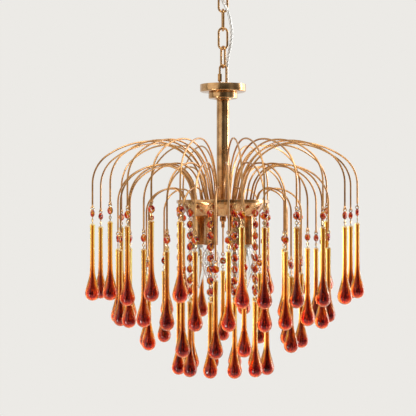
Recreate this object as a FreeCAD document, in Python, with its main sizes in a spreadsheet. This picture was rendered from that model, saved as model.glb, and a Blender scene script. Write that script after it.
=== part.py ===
import FreeCAD
import Part
import Sketcher
import math
import os

# Waterfall chandelier, in millimetres. The origin is the ceiling's plane on the lamp's axis, and +Z is up.
# The photograph's viewer looks along +Y. Azimuth 0 degrees faces the viewer, and 90 degrees is on the right.

VECTOR = FreeCAD.Vector
UP = VECTOR(0, 0, 1)

doc = FreeCAD.newDocument("chandelier")
dims = doc.addObject("Spreadsheet::Sheet", "Dims")

# Driving dimensions: alias, size, what it is
SIZES = [
    ("canopy_radius", 55, "ceiling canopy, outside"),
    ("canopy_height", 46, "ceiling canopy, height"),
    ("canopy_wall", 1.5, "ceiling canopy, wall"),
    ("canopy_hole", 18, "radius of the canopy's lower hole"),
    ("canopy_floor", 30, "radius where the canopy's floor turns up"),
    ("canopy_shoulder", 20, "height of the canopy's shoulder"),
    ("canopy_curve_out", 16, "how far the canopy's floor curves out"),
    ("canopy_curve_up", 6, "how far it rises there"),
    ("screw_radius", 2, "canopy screws, thread"),
    ("screw_head_radius", 4, "canopy screws, head"),
    ("screw_head_height", 3, "canopy screws, height of the head"),
    ("screw_gap", 0.3, "from a canopy screw's tip to the bar's ear"),
    ("bracket_width", 22, "ceiling bar, width"),
    ("bracket_sheet", 2.5, "ceiling bar, thickness"),
    ("bracket_reach", 52, "from the axis to the outside of an ear"),
    ("ear_drop", 14, "how far the bar's ears reach down"),
    ("slot_reach", 42, "from the axis to the middle of a fixing slot"),
    ("slot_width", 5, "fixing slot, width"),
    ("slot_span", 10, "fixing slot, end to end"),
    ("boss_radius", 9, "threaded boss under the bar"),
    ("boss_height", 10, "threaded boss, height"),
    ("cut_depth", 20, "how far a cutter reaches through a sheet"),
    ("block_length", 22, "terminal block, length"),
    ("block_width", 18, "terminal block, width"),
    ("block_height", 13, "terminal block, height"),
    ("block_chamfer", 1.2, "terminal block, chamfer of its upright edges"),
    ("block_reach", 34, "from the axis to the terminal block's far end"),
    ("thread_radius", 4.95, "M10 threads, outside"),
    ("thread_bore", 5, "M10 bores"),
    ("nut_flats", 17, "lock nut across flats"),
    ("nut_height", 6, "lock nut, height"),
    ("ring_bore", 11, "ceiling ring, inside radius"),
    ("ring_wire", 5, "ceiling ring, bar diameter"),
    ("ring_collar_radius", 7, "collar where the ring meets its shank"),
    ("ring_collar_height", 4, "collar, height"),
    ("link_wire", 4.4, "chain wire diameter"),
    ("link_inner", 37.4, "chain link, inside length"),
    ("link_outer_width", 21.7, "chain link, outside width"),
    ("link_play", 0.3, "clearance where two links bear"),
    ("quick_wire", 4.2, "screw link, wire diameter"),
    ("quick_length", 44.9, "screw link, outside length"),
    ("quick_width", 17, "screw link, outside width"),
    ("sleeve_flats", 8, "screw link's sleeve across flats"),
    ("sleeve_height", 15, "screw link's sleeve, length"),
    ("sleeve_foot", 12, "from the screw link's middle down to its sleeve's foot"),
    ("cord_diameter", 6, "supply cord"),
    ("gland_radius", 4.5, "cord gland, radius"),
    ("gland_height", 8, "cord gland, height"),
    ("cup_radius", 46, "upper collar, outside"),
    ("cup_height", 15, "upper collar, height"),
    ("cup_wall", 1.5, "upper collar, wall"),
    ("cup_corner", 2, "upper collar, bevel of its lower edge"),
    ("loop_bar", 5, "collar's loop, bar diameter"),
    ("loop_inside", 6, "collar's loop, inside radius"),
    ("loop_foot_radius", 11.2, "collar's loop, foot"),
    ("loop_foot_height", 3, "collar's loop, height of its foot"),
    ("base_radius", 29, "lower collar, outside"),
    ("base_height", 15.4, "lower collar, height"),
    ("base_corner", 1.5, "lower collar, bevel of its lower edge"),
    ("base_ridge", 4, "ridge round the stem's socket, width"),
    ("base_step", 2, "how far the ridge stands down"),
    ("base_top_edge", 1, "lower collar, bevel of its upper edge"),
    ("stem_socket", 3, "how deep the stem sits in the collar"),
    ("stem_fit", 0.05, "clearance round the stem in its socket"),
    ("stem_radius", 12.75, "stem tube, outside"),
    ("stem_bore", 11, "stem tube, inside"),
    ("stem_length", 200.6, "stem tube, length"),
    ("bush_length", 16, "bush in each end of the stem"),
    ("rod_tail", 8, "how far the rod goes into the finial"),
    ("rod_gap", 2, "from the rod's top to its bush's top"),
    ("flange_radius", 93, "drum's top plate, outside"),
    ("flange_height", 7, "drum's top plate, height of its rim"),
    ("flange_sheet", 2.5, "drum's top plate, thickness"),
    ("flange_rim", 5, "drum's top plate, width of its rim"),
    ("flange_edge", 0.8, "drum's top plate, bevel of its rim"),
    ("pan_top_radius", 84, "drum, radius at the top"),
    ("pan_mid_radius", 77, "drum, radius where its side turns in"),
    ("pan_low_radius", 64, "drum, radius at the bottom"),
    ("pan_height", 25.6, "drum, height"),
    ("pan_wall", 1.2, "drum, wall"),
    ("pan_foot_out", 6, "how far the drum's lowest slope goes out"),
    ("pan_foot_up", 2.2, "how far it rises"),
    ("pan_turn_low", 8, "where the drum's side begins to turn upright"),
    ("pan_turn_high", 16, "where it ends"),
    ("pan_turn_half", 2.6, "half of how far the turn goes out"),
    ("lamp_circle", 48, "radius of the circle of six lamps"),
    ("candle_radius", 13.5, "candle tube, outside"),
    ("candle_wall", 1, "candle tube, wall"),
    ("candle_length", 56.6, "candle tube, length"),
    ("holder_radius", 12.2, "lampholder, outside"),
    ("holder_height", 34, "lampholder, height"),
    ("holder_lip", 1.4, "how far the candle tube's mouth laps the holder"),
    ("holder_play", 0.6, "clearance round the holder in its tube"),
    ("holder_rise", 0.5, "from the tube's floor up to the holder"),
    ("socket_play", 0.4, "clearance round the lamp's cap in its socket"),
    ("socket_depth", 27, "lampholder, depth of its socket"),
    ("nipple_height", 6, "how far the holder's threaded nipple stands into the drum"),
    ("nipple_nut_radius", 8, "nut on the nipple, radius"),
    ("nipple_nut_height", 3, "nut on the nipple, height"),
    ("cap_radius", 6.8, "E14 lamp cap, radius"),
    ("cap_length", 24, "E14 lamp cap, length"),
    ("cap_stand", 1.5, "how far the lamp cap stands out of its holder"),
    ("cap_flange_radius", 8, "lamp cap's flange, radius"),
    ("cap_flange_height", 1.2, "lamp cap's flange, thickness"),
    ("bulb_length", 86, "glass of the candle lamp, length"),
    ("bulb_radius", 17.5, "glass of the candle lamp, radius"),
    ("bulb_glass", 1, "glass of the candle lamp, wall"),
    ("finial_height", 24, "finial nut, height"),
    ("finial_tip_radius", 3.5, "finial nut, radius of its tip"),
    ("finial_tip_height", 13, "finial nut, height of its tip"),
    ("finial_head_radius", 6.6, "finial nut, radius of its head"),
    ("finial_bore", 8, "finial nut, depth of its thread"),
    ("wire_diameter", 3.6, "bent brass wires"),
    ("eye_ring", 3.2, "eyes and pins, radius of the wire's circle"),
    ("eye_wire", 2.2, "eyes, wire diameter"),
    ("pin_wire", 2, "pins, wire diameter"),
    ("pin_depth", 2, "how deep a pin goes into a bead or drop"),
    ("ring_room", 1.2, "least room above and below a joining ring's wire"),
    ("hook_wire", 2.6, "strand hooks' shanks, diameter"),
    ("bead_flats", 14, "octagon bead across flats"),
    ("bead_table", 8, "octagon bead's table across flats"),
    ("bead_depth", 7, "octagon bead, thickness"),
    ("bead_edge", 2, "octagon bead, thickness at its edge"),
    ("bead_drop", 14, "from an eye's centre to its bead's centre"),
    ("drop_gap", 19.5, "from a bead's centre to the top of its glass drop"),
    ("drop_length", 150, "glass drop, length"),
    ("drop_radius", 14, "glass drop, widest radius"),
    ("strand_circle", 90.5, "radius of the circle of bead strands"),
    ("strand_pitch", 21.8, "between the beads of a strand"),
    ("strand_gap", 17.5, "from a strand's last bead to its drop"),
]
LEVELS = [
    ("ring_bar_level", -77.6, "axis of the ceiling ring's lower bar"),
    ("screw_level", -9, "axis of the canopy's screws"),
    ("cup_floor_level", -275, "underside of the upper collar"),
    ("flange_level", -491, "top of the drum's plate"),
    ("strand_level", -517.8, "centre of a strand's first bead"),
]
for row, (alias, value, note) in enumerate(SIZES + LEVELS, start=1):
    dims.set(f"A{row}", note)
    dims.set(f"B{row}", str(value))
    dims.setAlias(f"B{row}", alias)
doc.recompute()


def size(alias):
    """A driving dimension, read from the sheet."""
    return float(dims.get(alias))


BEADS_ON_A_STRAND = 8
STRANDS = 12
FIRST_STRAND = 13.6
LAMPS = 6
FIRST_LAMP = 30
LINKS = 4
# How far each chain link has turned about the vertical, in degrees, by its number. The others face squarely.
LINK_TURNS = {2: 6, 4: 25}
# How much of a run each bend of the cord takes at its end.
BEND_SHARE = 0.45

# Each outer pendant: azimuth of its wire in degrees, and how much higher than its tier it hangs.
OUTER_PENDANTS = [
    (-72, 0), (-53.3, 5), (-42.2, -3), (-30, 7), (-17.5, 6),
    (6.7, -4), (15.6, -5), (29.6, -5), (43.4, -5), (59.4, -4),
    (82, 2), (102, -4), (124.3, 6), (141, -7), (158, -8),
    (176, -6), (-161.6, -9), (-145, -8), (-127, -7), (-109.5, -6),
]
MIDDLE_PENDANTS = [
    (-90, 0), (-73, -1), (-60, -1), (-46.2, 3), (-30.5, 0), (-14.8, 0),
    (2.2, 0), (20.8, -2), (33.2, 0), (49.2, 5), (65, -4), (85, 3),
    (113.4, 0), (141.3, -3), (167, 2), (-168, -2), (-146, 1), (-114.5, 0),
]
INNER_PENDANTS = [
    (-69.3, 2), (-30, -4), (-5.8, -5), (14.2, -2), (57, 0), (86, 3),
    (121.7, 0), (149.9, -2), (179.4, 2), (-129.2, 4), (-99, 0),
]
# Each tier's wires: radius at the foot, radius and height of the peak above the plate, radius at the eye,
# height of the eye's centre, how far the outer bend comes down, and the pendants.
TIERS = {
    "outer": (36, 145, 115, 267, -504, 85, OUTER_PENDANTS),
    "middle": (60, 122, 70, 210, -554, 75, MIDDLE_PENDANTS),
    "inner": (80, 104, 23, 156, -605, 48, INNER_PENDANTS),
}
# In degrees: how steeply each tier stands on the plate, and where a wire's wide arc meets its tight one.
FOOT_ANGLE = {"outer": 75, "middle": 78, "inner": 70}
BEND_ANGLE = 35

# The supply cord's route, from the terminal block through the top link and beside the chain to the gland.
CORD_ROUTE = [
    (-18, 0, -15.5), (-18, 0, -28), (-13.4, 4, -44), (-9.8, 9.2, -60), (-7.4, 7.4, -76.5),
    (0.4, -1.2, -94.5), (9.6, -8.4, -112.5), (14.2, -7.4, -130.5), (17, -4, -148.5), (17.2, 0, -166.5),
    (14.8, 3.4, -184.5), (10.2, 5.8, -202.5), (8.1, 7.4, -220.5), (7.9, 11, -238.5), (8.5, 13.6, -254),
    (8.6, 13.8, -265.5),
]


def placed(obj, x=0, y=0, z=0, turn=0):
    """Puts a finished sub-part at its place, turned about the vertical."""
    obj.Placement = FreeCAD.Placement(VECTOR(x, y, z), FreeCAD.Rotation(UP, turn))
    return obj


def at_level(obj, expression):
    """Binds a sub-part's height to the sheet."""
    obj.setExpression("Placement.Base.z", expression)
    return obj


def new_body(label):
    body = doc.addObject("PartDesign::Body", label)
    body.Label = label
    return body


def plane_of(body, role):
    return next(f for f in body.Origin.OriginFeatures if f.Role == role)


def new_sketch(body, name, role):
    sketch = body.newObject("Sketcher::SketchObject", name)
    sketch.AttachmentSupport = [(plane_of(body, role), "")]
    sketch.MapMode = "FlatFace"
    return sketch


def outline(body, name, corners):
    """A closed outline in the XZ plane. Each corner is (radius, height), as expressions on the sheet."""
    sketch = new_sketch(body, name, "XZ_Plane")
    values = [tuple(float(dims.evalExpression(e.replace("Dims.", ""))) for e in c) for c in corners]
    last = len(corners) - 1
    for index, (x, y) in enumerate(values):
        nx, ny = values[(index + 1) % len(values)]
        sketch.addGeometry(Part.LineSegment(VECTOR(x, y, 0), VECTOR(nx, ny, 0)), False)
    for index in range(len(corners)):
        other = 0 if index == last else index + 1
        sketch.addConstraint(Sketcher.Constraint("Coincident", index, 2, other, 1))
    for index, (x, y) in enumerate(values):
        if abs(x) < 1e-9:
            sketch.addConstraint(Sketcher.Constraint("PointOnObject", index, 1, -2))
        else:
            number = sketch.addConstraint(Sketcher.Constraint("DistanceX", -1, 1, index, 1, x))
            sketch.setExpression(f"Constraints[{number}]", corners[index][0])
        if abs(y) < 1e-9:
            sketch.addConstraint(Sketcher.Constraint("PointOnObject", index, 1, -1))
        else:
            number = sketch.addConstraint(Sketcher.Constraint("DistanceY", -1, 1, index, 1, y))
            sketch.setExpression(f"Constraints[{number}]", corners[index][1])
    return sketch


def turned(label, corners):
    """A body turned about the vertical from an outline."""
    body = new_body(label)
    sketch = outline(body, f"{label}_outline", corners)
    turning = body.newObject("PartDesign::Revolution", f"{label}_turned")
    turning.Profile = sketch
    turning.ReferenceAxis = (sketch, ["V_Axis"])
    turning.Angle = 360
    return body


def bored(body, label, bore, reach, circle=None, count=1):
    """Drills a hole up through a turned body's floor, or a circle of them."""
    before = solid_volume(body)
    sketch = new_sketch(body, f"{label}_hole", "XY_Plane")
    offset = size("lamp_circle") if circle else 0
    sketch.addGeometry(Part.Circle(VECTOR(offset, 0, 0), UP, size("thread_bore")), False)
    number = sketch.addConstraint(Sketcher.Constraint("Radius", 0, size("thread_bore")))
    sketch.setExpression(f"Constraints[{number}]", bore)
    sketch.addConstraint(Sketcher.Constraint("PointOnObject", 0, 3, -1))
    if circle:
        number = sketch.addConstraint(Sketcher.Constraint("DistanceX", -1, 1, 0, 3, offset))
        sketch.setExpression(f"Constraints[{number}]", circle)
    else:
        sketch.addConstraint(Sketcher.Constraint("PointOnObject", 0, 3, -2))
    hole = body.newObject("PartDesign::Pocket", f"{label}_bored")
    hole.Profile = sketch
    hole.Length = reach
    hole.Midplane = True
    if count > 1:
        ring = body.newObject("PartDesign::PolarPattern", f"{label}_bored_round")
        ring.Originals = [hole]
        ring.Axis = (sketch, ["N_Axis"])
        ring.Angle = 360
        ring.Occurrences = count
        body.Tip = ring
    assert solid_volume(body) < before, f"{label}: the hole cut nothing"
    return body


def solid_volume(body):
    doc.recompute()
    return body.Shape.Volume


def shaped(label, shape):
    """A sub-part whose form needs the geometry functions below."""
    obj = doc.addObject("Part::Feature", label)
    obj.Label = label
    obj.Shape = shape
    return obj


def round_the_axis(shape, azimuth):
    """A copy of a shape drawn towards the viewer's right, turned to its azimuth."""
    return shape.rotated(VECTOR(0, 0, 0), UP, azimuth - 90)


def swept(path, radius):
    """A round bar along a path of tangent edges."""
    start = path.Edges[0]
    point = start.valueAt(start.FirstParameter)
    way = start.tangentAt(start.FirstParameter)
    section = Part.Wire(Part.Circle(point, way, radius).toShape())
    return path.makePipeShell([section], True, False)


def ring(radius, wire, centre, axis):
    return Part.makeTorus(radius, wire / 2, centre, axis)


def rod(radius, low, high):
    """A round bar between two points."""
    return Part.makeCylinder(radius, (high - low).Length, low, high - low)


def box(name, length, width, height):
    made = doc.addObject("Part::Box", name)
    made.setExpression("Length", length)
    made.setExpression("Width", width)
    made.setExpression("Height", height)
    return made


def cylinder(name, radius, height):
    made = doc.addObject("Part::Cylinder", name)
    made.setExpression("Radius", radius)
    made.setExpression("Height", height)
    return made


def hex_nut(label, flats, height, bore):
    """A hexagon nut, standing on the XY plane."""
    hexagon = doc.addObject("Part::Prism", f"{label}_hexagon")
    hexagon.Polygon = 6
    hexagon.setExpression("Circumradius", f"{flats} / 2 / cos(30)")
    hexagon.setExpression("Height", height)
    nut = doc.addObject("Part::Cut", label)
    nut.Base, nut.Tool = hexagon, cylinder(f"{label}_bore", bore, height)
    return nut


def ceiling_parts():
    """The bar on the ceiling, its threaded ring and lock nut, and the terminal block."""
    span = "Dims.bracket_reach"
    bar = box("bar_sheet", f"2 * {span}", "Dims.bracket_width", "Dims.bracket_sheet")
    half = size("bracket_reach")
    width, thick = size("bracket_width"), size("bracket_sheet")
    placed(bar, x=-half, y=-width / 2, z=-thick)
    pieces = [bar]
    for name, x in (("left_ear", -half), ("right_ear", half - thick)):
        ear = box(name, "Dims.bracket_sheet", "Dims.bracket_width", "Dims.ear_drop")
        pieces.append(placed(ear, x=x, y=-width / 2, z=-size("ear_drop")))
    boss = cylinder("boss", "Dims.boss_radius", "Dims.boss_height + Dims.bracket_sheet")
    pieces.append(placed(boss, z=-size("boss_height") - thick))
    bent = doc.addObject("Part::MultiFuse", "bar_and_boss")
    bent.Shapes = pieces
    depth = size("cut_depth")
    holes = [placed(cylinder("boss_thread", "Dims.thread_bore", "2 * Dims.cut_depth"), z=-depth)]
    run = size("slot_span") - size("slot_width")
    for side in (-1, 1):
        middle = side * size("slot_reach")
        slot = box("slot", "Dims.slot_span - Dims.slot_width", "Dims.slot_width", "Dims.cut_depth")
        holes.append(placed(slot, x=middle - run / 2, y=-size("slot_width") / 2, z=-depth / 2))
        for end in (-1, 1):
            rounding = cylinder("slot_end", "Dims.slot_width / 2", "Dims.cut_depth")
            holes.append(placed(rounding, x=middle + end * run / 2, z=-depth / 2))
    cutters = doc.addObject("Part::MultiFuse", "bar_holes")
    cutters.Shapes = holes
    bracket = doc.addObject("Part::Cut", "ceiling_bracket")
    bracket.Base, bracket.Tool = bent, cutters

    bar_centre = VECTOR(0, 0, size("ring_bar_level"))
    circle = size("ring_bore") + size("ring_wire") / 2
    ring_centre = bar_centre + VECTOR(0, 0, circle)
    shank_foot = ring_centre + VECTOR(0, 0, circle - size("ring_wire") / 5)
    hanger = ring(circle, size("ring_wire"), ring_centre, VECTOR(1, 0, 0))
    collar = Part.makeCylinder(size("ring_collar_radius"), size("ring_collar_height"), shank_foot, UP)
    shank = rod(size("thread_radius"), shank_foot, VECTOR(0, 0, -size("bracket_sheet") / 2))
    shaped("ceiling_ring", hanger.fuse([collar, shank]).removeSplitter())

    nut_level = -(size("bracket_sheet") + size("boss_height") + size("nut_height"))
    lock_nut = hex_nut("ring_lock_nut", "Dims.nut_flats", "Dims.nut_height", "Dims.thread_bore")
    placed(lock_nut, z=nut_level)

    block = box("block_body", "Dims.block_length", "Dims.block_width", "Dims.block_height")
    edges = doc.addObject("Part::Chamfer", "terminal_block")
    edges.Base = block
    doc.recompute()
    chamfer = size("block_chamfer")
    edges.Edges = [(n, chamfer, chamfer) for n in (1, 3, 5, 7)]
    placed(edges, x=-size("block_reach"), y=-size("block_width") / 2, z=-thick - size("block_height"))


def canopy_parts():
    """The canopy that slides down the chain, and its two side screws."""
    wall = "Dims.canopy_wall"
    canopy = turned("canopy", [
        ("Dims.canopy_hole", "0"),
        ("Dims.canopy_floor", "0"),
        ("Dims.canopy_floor + Dims.canopy_curve_out", "Dims.canopy_curve_up"),
        ("Dims.canopy_radius", "Dims.canopy_shoulder"),
        ("Dims.canopy_radius", "Dims.canopy_height"),
        (f"Dims.canopy_radius - {wall}", "Dims.canopy_height"),
        (f"Dims.canopy_radius - {wall}", f"Dims.canopy_shoulder + {wall} / 2.5"),
        (f"Dims.canopy_floor + Dims.canopy_curve_out - {wall} / 2", f"Dims.canopy_curve_up + {wall}"),
        (f"Dims.canopy_floor - {wall} / 4", wall),
        ("Dims.canopy_hole", wall),
    ])
    at_level(canopy, "-Dims.canopy_height")
    doc.recompute()
    level, thread, reach = size("screw_level"), size("screw_radius"), size("canopy_radius")
    screws = []
    for side in (-1, 1):
        tip = VECTOR(side * (size("bracket_reach") + size("screw_gap")), 0, level)
        head = VECTOR(side * reach, 0, level)
        top = VECTOR(side * (reach + size("screw_head_height")), 0, level)
        screws.append(rod(thread, tip, head).fuse(rod(size("screw_head_radius"), head, top)).removeSplitter())
    shaped("canopy_screws", Part.makeCompound(screws))
    # The screws stand in holes through the canopy's wall.
    drilled = doc.addObject("Part::Cut", "canopy_drilled")
    drill = doc.addObject("Part::Cylinder", "screw_holes")
    drill.Radius = thread
    drill.Height = 3 * reach
    drill.Placement = FreeCAD.Placement(VECTOR(-1.5 * reach, 0, level), FreeCAD.Rotation(VECTOR(0, 1, 0), 90))
    drilled.Base, drilled.Tool = canopy, drill
    canopy.Label = "canopy_shell"
    drilled.Label = "canopy"
    return drilled


def link_path(outer_length, outer_width, wire, facing):
    """The middle line of an oval link, about its own centre, in the XZ plane or the YZ plane."""
    r = (outer_width - wire) / 2
    s = (outer_length - wire) / 2 - r
    axis = VECTOR(1, 0, 0) if facing else VECTOR(0, 1, 0)
    right, left = axis * r, axis * -r
    top, low = UP * s, UP * -s
    edges = [
        Part.LineSegment(right + low, right + top).toShape(),
        Part.Arc(right + top, UP * (s + r), left + top).toShape(),
        Part.LineSegment(left + top, left + low).toShape(),
        Part.Arc(left + low, UP * -(s + r), right + low).toShape(),
    ]
    return Part.Wire(edges)


def oval(outer_length, outer_width, wire, facing):
    path = link_path(outer_length, outer_width, wire, facing)
    section = Part.Wire(Part.Circle(path.Edges[0].valueAt(0), UP, wire / 2).toShape())
    return path.makePipeShell([section], True, False)


def chain_parts():
    """The oval links, the screw link and its threaded sleeve. Returns each bearing's height."""
    wire, inner, play = size("link_wire"), size("link_inner"), size("link_play")
    bearings = [size("ring_bar_level")]
    bar = size("ring_wire") / 2
    for number in range(1, LINKS + 1):
        top_inside = bearings[-1] + bar + play
        centre = top_inside - inner / 2
        link = oval(inner + 2 * wire, size("link_outer_width"), wire, number % 2 == 1)
        link.translate(VECTOR(0, 0, centre))
        link.rotate(VECTOR(0, 0, 0), UP, LINK_TURNS.get(number, 0))
        shaped(f"chain_link_{number}", link)
        bearings.append(centre - inner / 2 - wire / 2)
        bar = wire / 2
    quick, length = size("quick_wire"), size("quick_length")
    centre = bearings[-1] + bar + play - (length - 2 * quick) / 2
    body = oval(length, size("quick_width"), quick, True)
    leg = -(size("quick_width") - quick) / 2
    sleeve_low = centre - size("sleeve_foot")
    shaped("screw_link", body.translated(VECTOR(0, 0, centre)))
    nut = hex_nut("screw_link_sleeve", "Dims.sleeve_flats", "Dims.sleeve_height", "Dims.quick_wire / 2 + 0.1")
    placed(nut, x=leg, z=sleeve_low)
    bearings.append(centre - length / 2 + quick / 2)
    return bearings


def cord_part():
    """The supply cord: straight runs joined by tangent arcs."""
    points = [VECTOR(*p) for p in CORD_ROUTE]
    edges, start, radii = [], points[0], []
    for before, corner, after in zip(points, points[1:], points[2:]):
        way_in, way_out = (corner - before).normalize(), (after - corner).normalize()
        half_turn = way_in.getAngle(way_out) / 2
        run = min((corner - before).Length, (after - corner).Length)
        reach = BEND_SHARE * run
        radii.append(reach / math.tan(half_turn))
        near, far = corner - way_in * reach, corner + way_out * reach
        middle = corner + (way_out - way_in).normalize() * (radii[-1] / math.cos(half_turn) - radii[-1])
        edges.append(Part.LineSegment(start, near).toShape())
        edges.append(Part.Arc(near, middle, far).toShape())
        start = far
    edges.append(Part.LineSegment(start, points[-1]).toShape())
    path = Part.Wire(edges)
    cord = swept(path, size("cord_diameter") / 2)
    section = math.pi * size("cord_diameter") ** 2 / 4
    print("cord radii", [round(r, 1) for r in radii], "length", round(path.Length, 1))
    print("cord volume over section times length", round(cord.Volume / section / path.Length, 4))
    shaped("supply_cord", cord)


def collar_parts(bearing):
    """The stepped collar: its threaded hook loop, upper cup, lower disc and cord gland."""
    floor = size("cup_floor_level") + size("cup_wall")
    bar, inside = size("loop_bar"), size("loop_inside")
    loop_centre = VECTOR(0, 0, bearing + size("quick_wire") / 2 + size("link_play") - inside)
    reach = inside + bar / 2
    low = floor + size("loop_foot_height") / 2
    side = VECTOR(0, reach, 0)
    path = Part.Wire([
        Part.LineSegment(VECTOR(0, reach, low), loop_centre + side).toShape(),
        Part.Arc(loop_centre + side, loop_centre + UP * reach, loop_centre - side).toShape(),
        Part.LineSegment(loop_centre - side, VECTOR(0, -reach, low)).toShape(),
    ])
    loop = swept(path, bar / 2)
    foot = Part.makeCylinder(size("loop_foot_radius"), size("loop_foot_height"), VECTOR(0, 0, floor), UP)
    shank_end = VECTOR(0, 0, size("cup_floor_level") - size("base_height") - size("bush_length"))
    shank = rod(size("thread_radius"), shank_end, VECTOR(0, 0, floor + 1))
    shaped("collar_loop", foot.fuse([loop, shank]).removeSplitter())

    cup = turned("collar_cup_shell", [
        ("Dims.thread_bore", "0"),
        ("Dims.cup_radius - Dims.cup_corner", "0"),
        ("Dims.cup_radius", "Dims.cup_corner"),
        ("Dims.cup_radius", "Dims.cup_height"),
        ("Dims.cup_radius - Dims.cup_wall", "Dims.cup_height"),
        ("Dims.cup_radius - Dims.cup_wall", "Dims.cup_corner + 0.4 * Dims.cup_wall"),
        ("Dims.cup_radius - Dims.cup_corner - 0.4 * Dims.cup_wall", "Dims.cup_wall"),
        ("Dims.thread_bore", "Dims.cup_wall"),
    ])
    at_level(cup, "Dims.cup_floor_level")
    gland_x, gland_y, gland_top = CORD_ROUTE[-1]
    hole = cylinder("gland_hole", "Dims.cord_diameter / 2", "Dims.cut_depth")
    placed(hole, x=gland_x, y=gland_y, z=floor - size("cut_depth") / 2)
    drilled = doc.addObject("Part::Cut", "collar_cup")
    drilled.Base, drilled.Tool = cup, hole
    gland = Part.makeCylinder(size("gland_radius"), gland_top - floor, VECTOR(gland_x, gland_y, floor), UP)
    spigot_foot = VECTOR(gland_x, gland_y, size("cup_floor_level"))
    spigot = Part.makeCylinder(size("cord_diameter") / 2, size("cup_wall"), spigot_foot, UP)
    shaped("cord_gland", gland.fuse(spigot).removeSplitter())

    base = turned("collar_base", [
        ("Dims.thread_bore", "Dims.stem_socket"),
        ("Dims.stem_radius + Dims.stem_fit", "Dims.stem_socket"),
        ("Dims.stem_radius + Dims.stem_fit", "0"),
        ("Dims.stem_radius + Dims.base_ridge", "0"),
        ("Dims.stem_radius + Dims.base_ridge", "Dims.base_step"),
        ("Dims.base_radius - Dims.base_corner", "Dims.base_step"),
        ("Dims.base_radius", "Dims.base_step + Dims.base_corner"),
        ("Dims.base_radius", "Dims.base_height - Dims.base_top_edge"),
        ("Dims.base_radius - Dims.base_top_edge", "Dims.base_height"),
        ("Dims.thread_bore", "Dims.base_height"),
    ])
    at_level(base, "Dims.cup_floor_level - Dims.base_height")


def stem_parts():
    """The stem tube, the threaded bushes in its ends and the rod through the drum."""
    tube = turned("stem_tube", [
        ("Dims.stem_bore", "0"),
        ("Dims.stem_radius", "0"),
        ("Dims.stem_radius", "Dims.stem_length + Dims.stem_socket"),
        ("Dims.stem_bore", "Dims.stem_length + Dims.stem_socket"),
    ])
    at_level(tube, "Dims.flange_level")
    tube_top = size("flange_level") + size("stem_length") + size("stem_socket")
    bushes = []
    for low in (size("flange_level"), tube_top - size("bush_length")):
        outer = Part.makeCylinder(size("stem_bore"), size("bush_length"), VECTOR(0, 0, low), UP)
        bore = Part.makeCylinder(size("thread_bore"), size("bush_length"), VECTOR(0, 0, low), UP)
        bushes.append(outer.cut(bore))
    shaped("stem_bushes", Part.makeCompound(bushes))
    pan_floor = size("flange_level") - size("flange_height") - size("pan_height")
    low = VECTOR(0, 0, pan_floor - size("rod_tail"))
    high = VECTOR(0, 0, size("flange_level") + size("bush_length") - size("rod_gap"))
    shaped("centre_rod", rod(size("thread_radius"), low, high))


def drum_parts():
    """The plate that carries the wires, the dished drum under it and the finial nut."""
    plate = turned("drum_plate", [
        ("Dims.thread_bore", "Dims.flange_height - Dims.flange_sheet"),
        ("Dims.flange_radius - Dims.flange_rim", "Dims.flange_height - Dims.flange_sheet"),
        ("Dims.flange_radius - Dims.flange_rim", "0"),
        ("Dims.flange_radius - Dims.flange_edge", "0"),
        ("Dims.flange_radius", "Dims.flange_edge"),
        ("Dims.flange_radius", "Dims.flange_height - Dims.flange_edge"),
        ("Dims.flange_radius - Dims.flange_edge", "Dims.flange_height"),
        ("Dims.thread_bore", "Dims.flange_height"),
    ])
    at_level(plate, "Dims.flange_level - Dims.flange_height")
    inset = "Dims.flange_height - Dims.flange_sheet"
    wall = "Dims.pan_wall"
    pan = turned("drum_pan", [
        ("0", "0"),
        ("Dims.pan_low_radius", "0"),
        ("Dims.pan_low_radius + Dims.pan_foot_out", "Dims.pan_foot_up"),
        ("Dims.pan_mid_radius - Dims.pan_turn_half", "Dims.pan_turn_low"),
        ("Dims.pan_mid_radius + Dims.pan_turn_half", "Dims.pan_turn_high"),
        ("Dims.pan_top_radius", "Dims.pan_height"),
        ("Dims.pan_top_radius", f"Dims.pan_height + {inset}"),
        (f"Dims.pan_top_radius - {wall}", f"Dims.pan_height + {inset}"),
        (f"Dims.pan_top_radius - {wall}", f"Dims.pan_height + {wall} / 6"),
        (f"Dims.pan_mid_radius + Dims.pan_turn_half - {wall}", f"Dims.pan_turn_high + {wall} / 4"),
        (f"Dims.pan_mid_radius - Dims.pan_turn_half - {wall}", f"Dims.pan_turn_low + {wall} / 1.5"),
        (f"Dims.pan_low_radius + Dims.pan_foot_out - {wall}", f"Dims.pan_foot_up + {wall}"),
        (f"Dims.pan_low_radius - {wall} / 3", wall),
        ("0", wall),
    ])
    at_level(pan, "Dims.flange_level - Dims.flange_height - Dims.pan_height")
    bored(pan, "pan_centre", "Dims.thread_bore", size("cut_depth"))
    bored(pan, "pan_lamps", "Dims.thread_bore", size("cut_depth"), "Dims.lamp_circle", LAMPS)

    tip, head = "Dims.finial_tip_radius", "Dims.finial_head_radius"
    finial = turned("finial", [
        ("0", "0"),
        (f"0.45 * {tip}", f"0.08 * {tip}"),
        (f"0.86 * {tip}", f"0.46 * {tip}"),
        (tip, f"1.14 * {tip}"),
        (tip, "Dims.finial_tip_height"),
        (head, f"Dims.finial_tip_height + ({head} - {tip}) / 2"),
        (head, "Dims.finial_height - 1"),
        (f"{head} - 0.6", "Dims.finial_height"),
        ("Dims.thread_bore", "Dims.finial_height"),
        ("Dims.thread_bore", "Dims.finial_height - Dims.finial_bore"),
        ("0", "Dims.finial_height - Dims.finial_bore"),
    ])
    at_level(finial, "Dims.flange_level - Dims.flange_height - Dims.pan_height - Dims.finial_height")


def lamp_azimuth(number):
    return FIRST_LAMP + 360 / LAMPS * number


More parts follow.
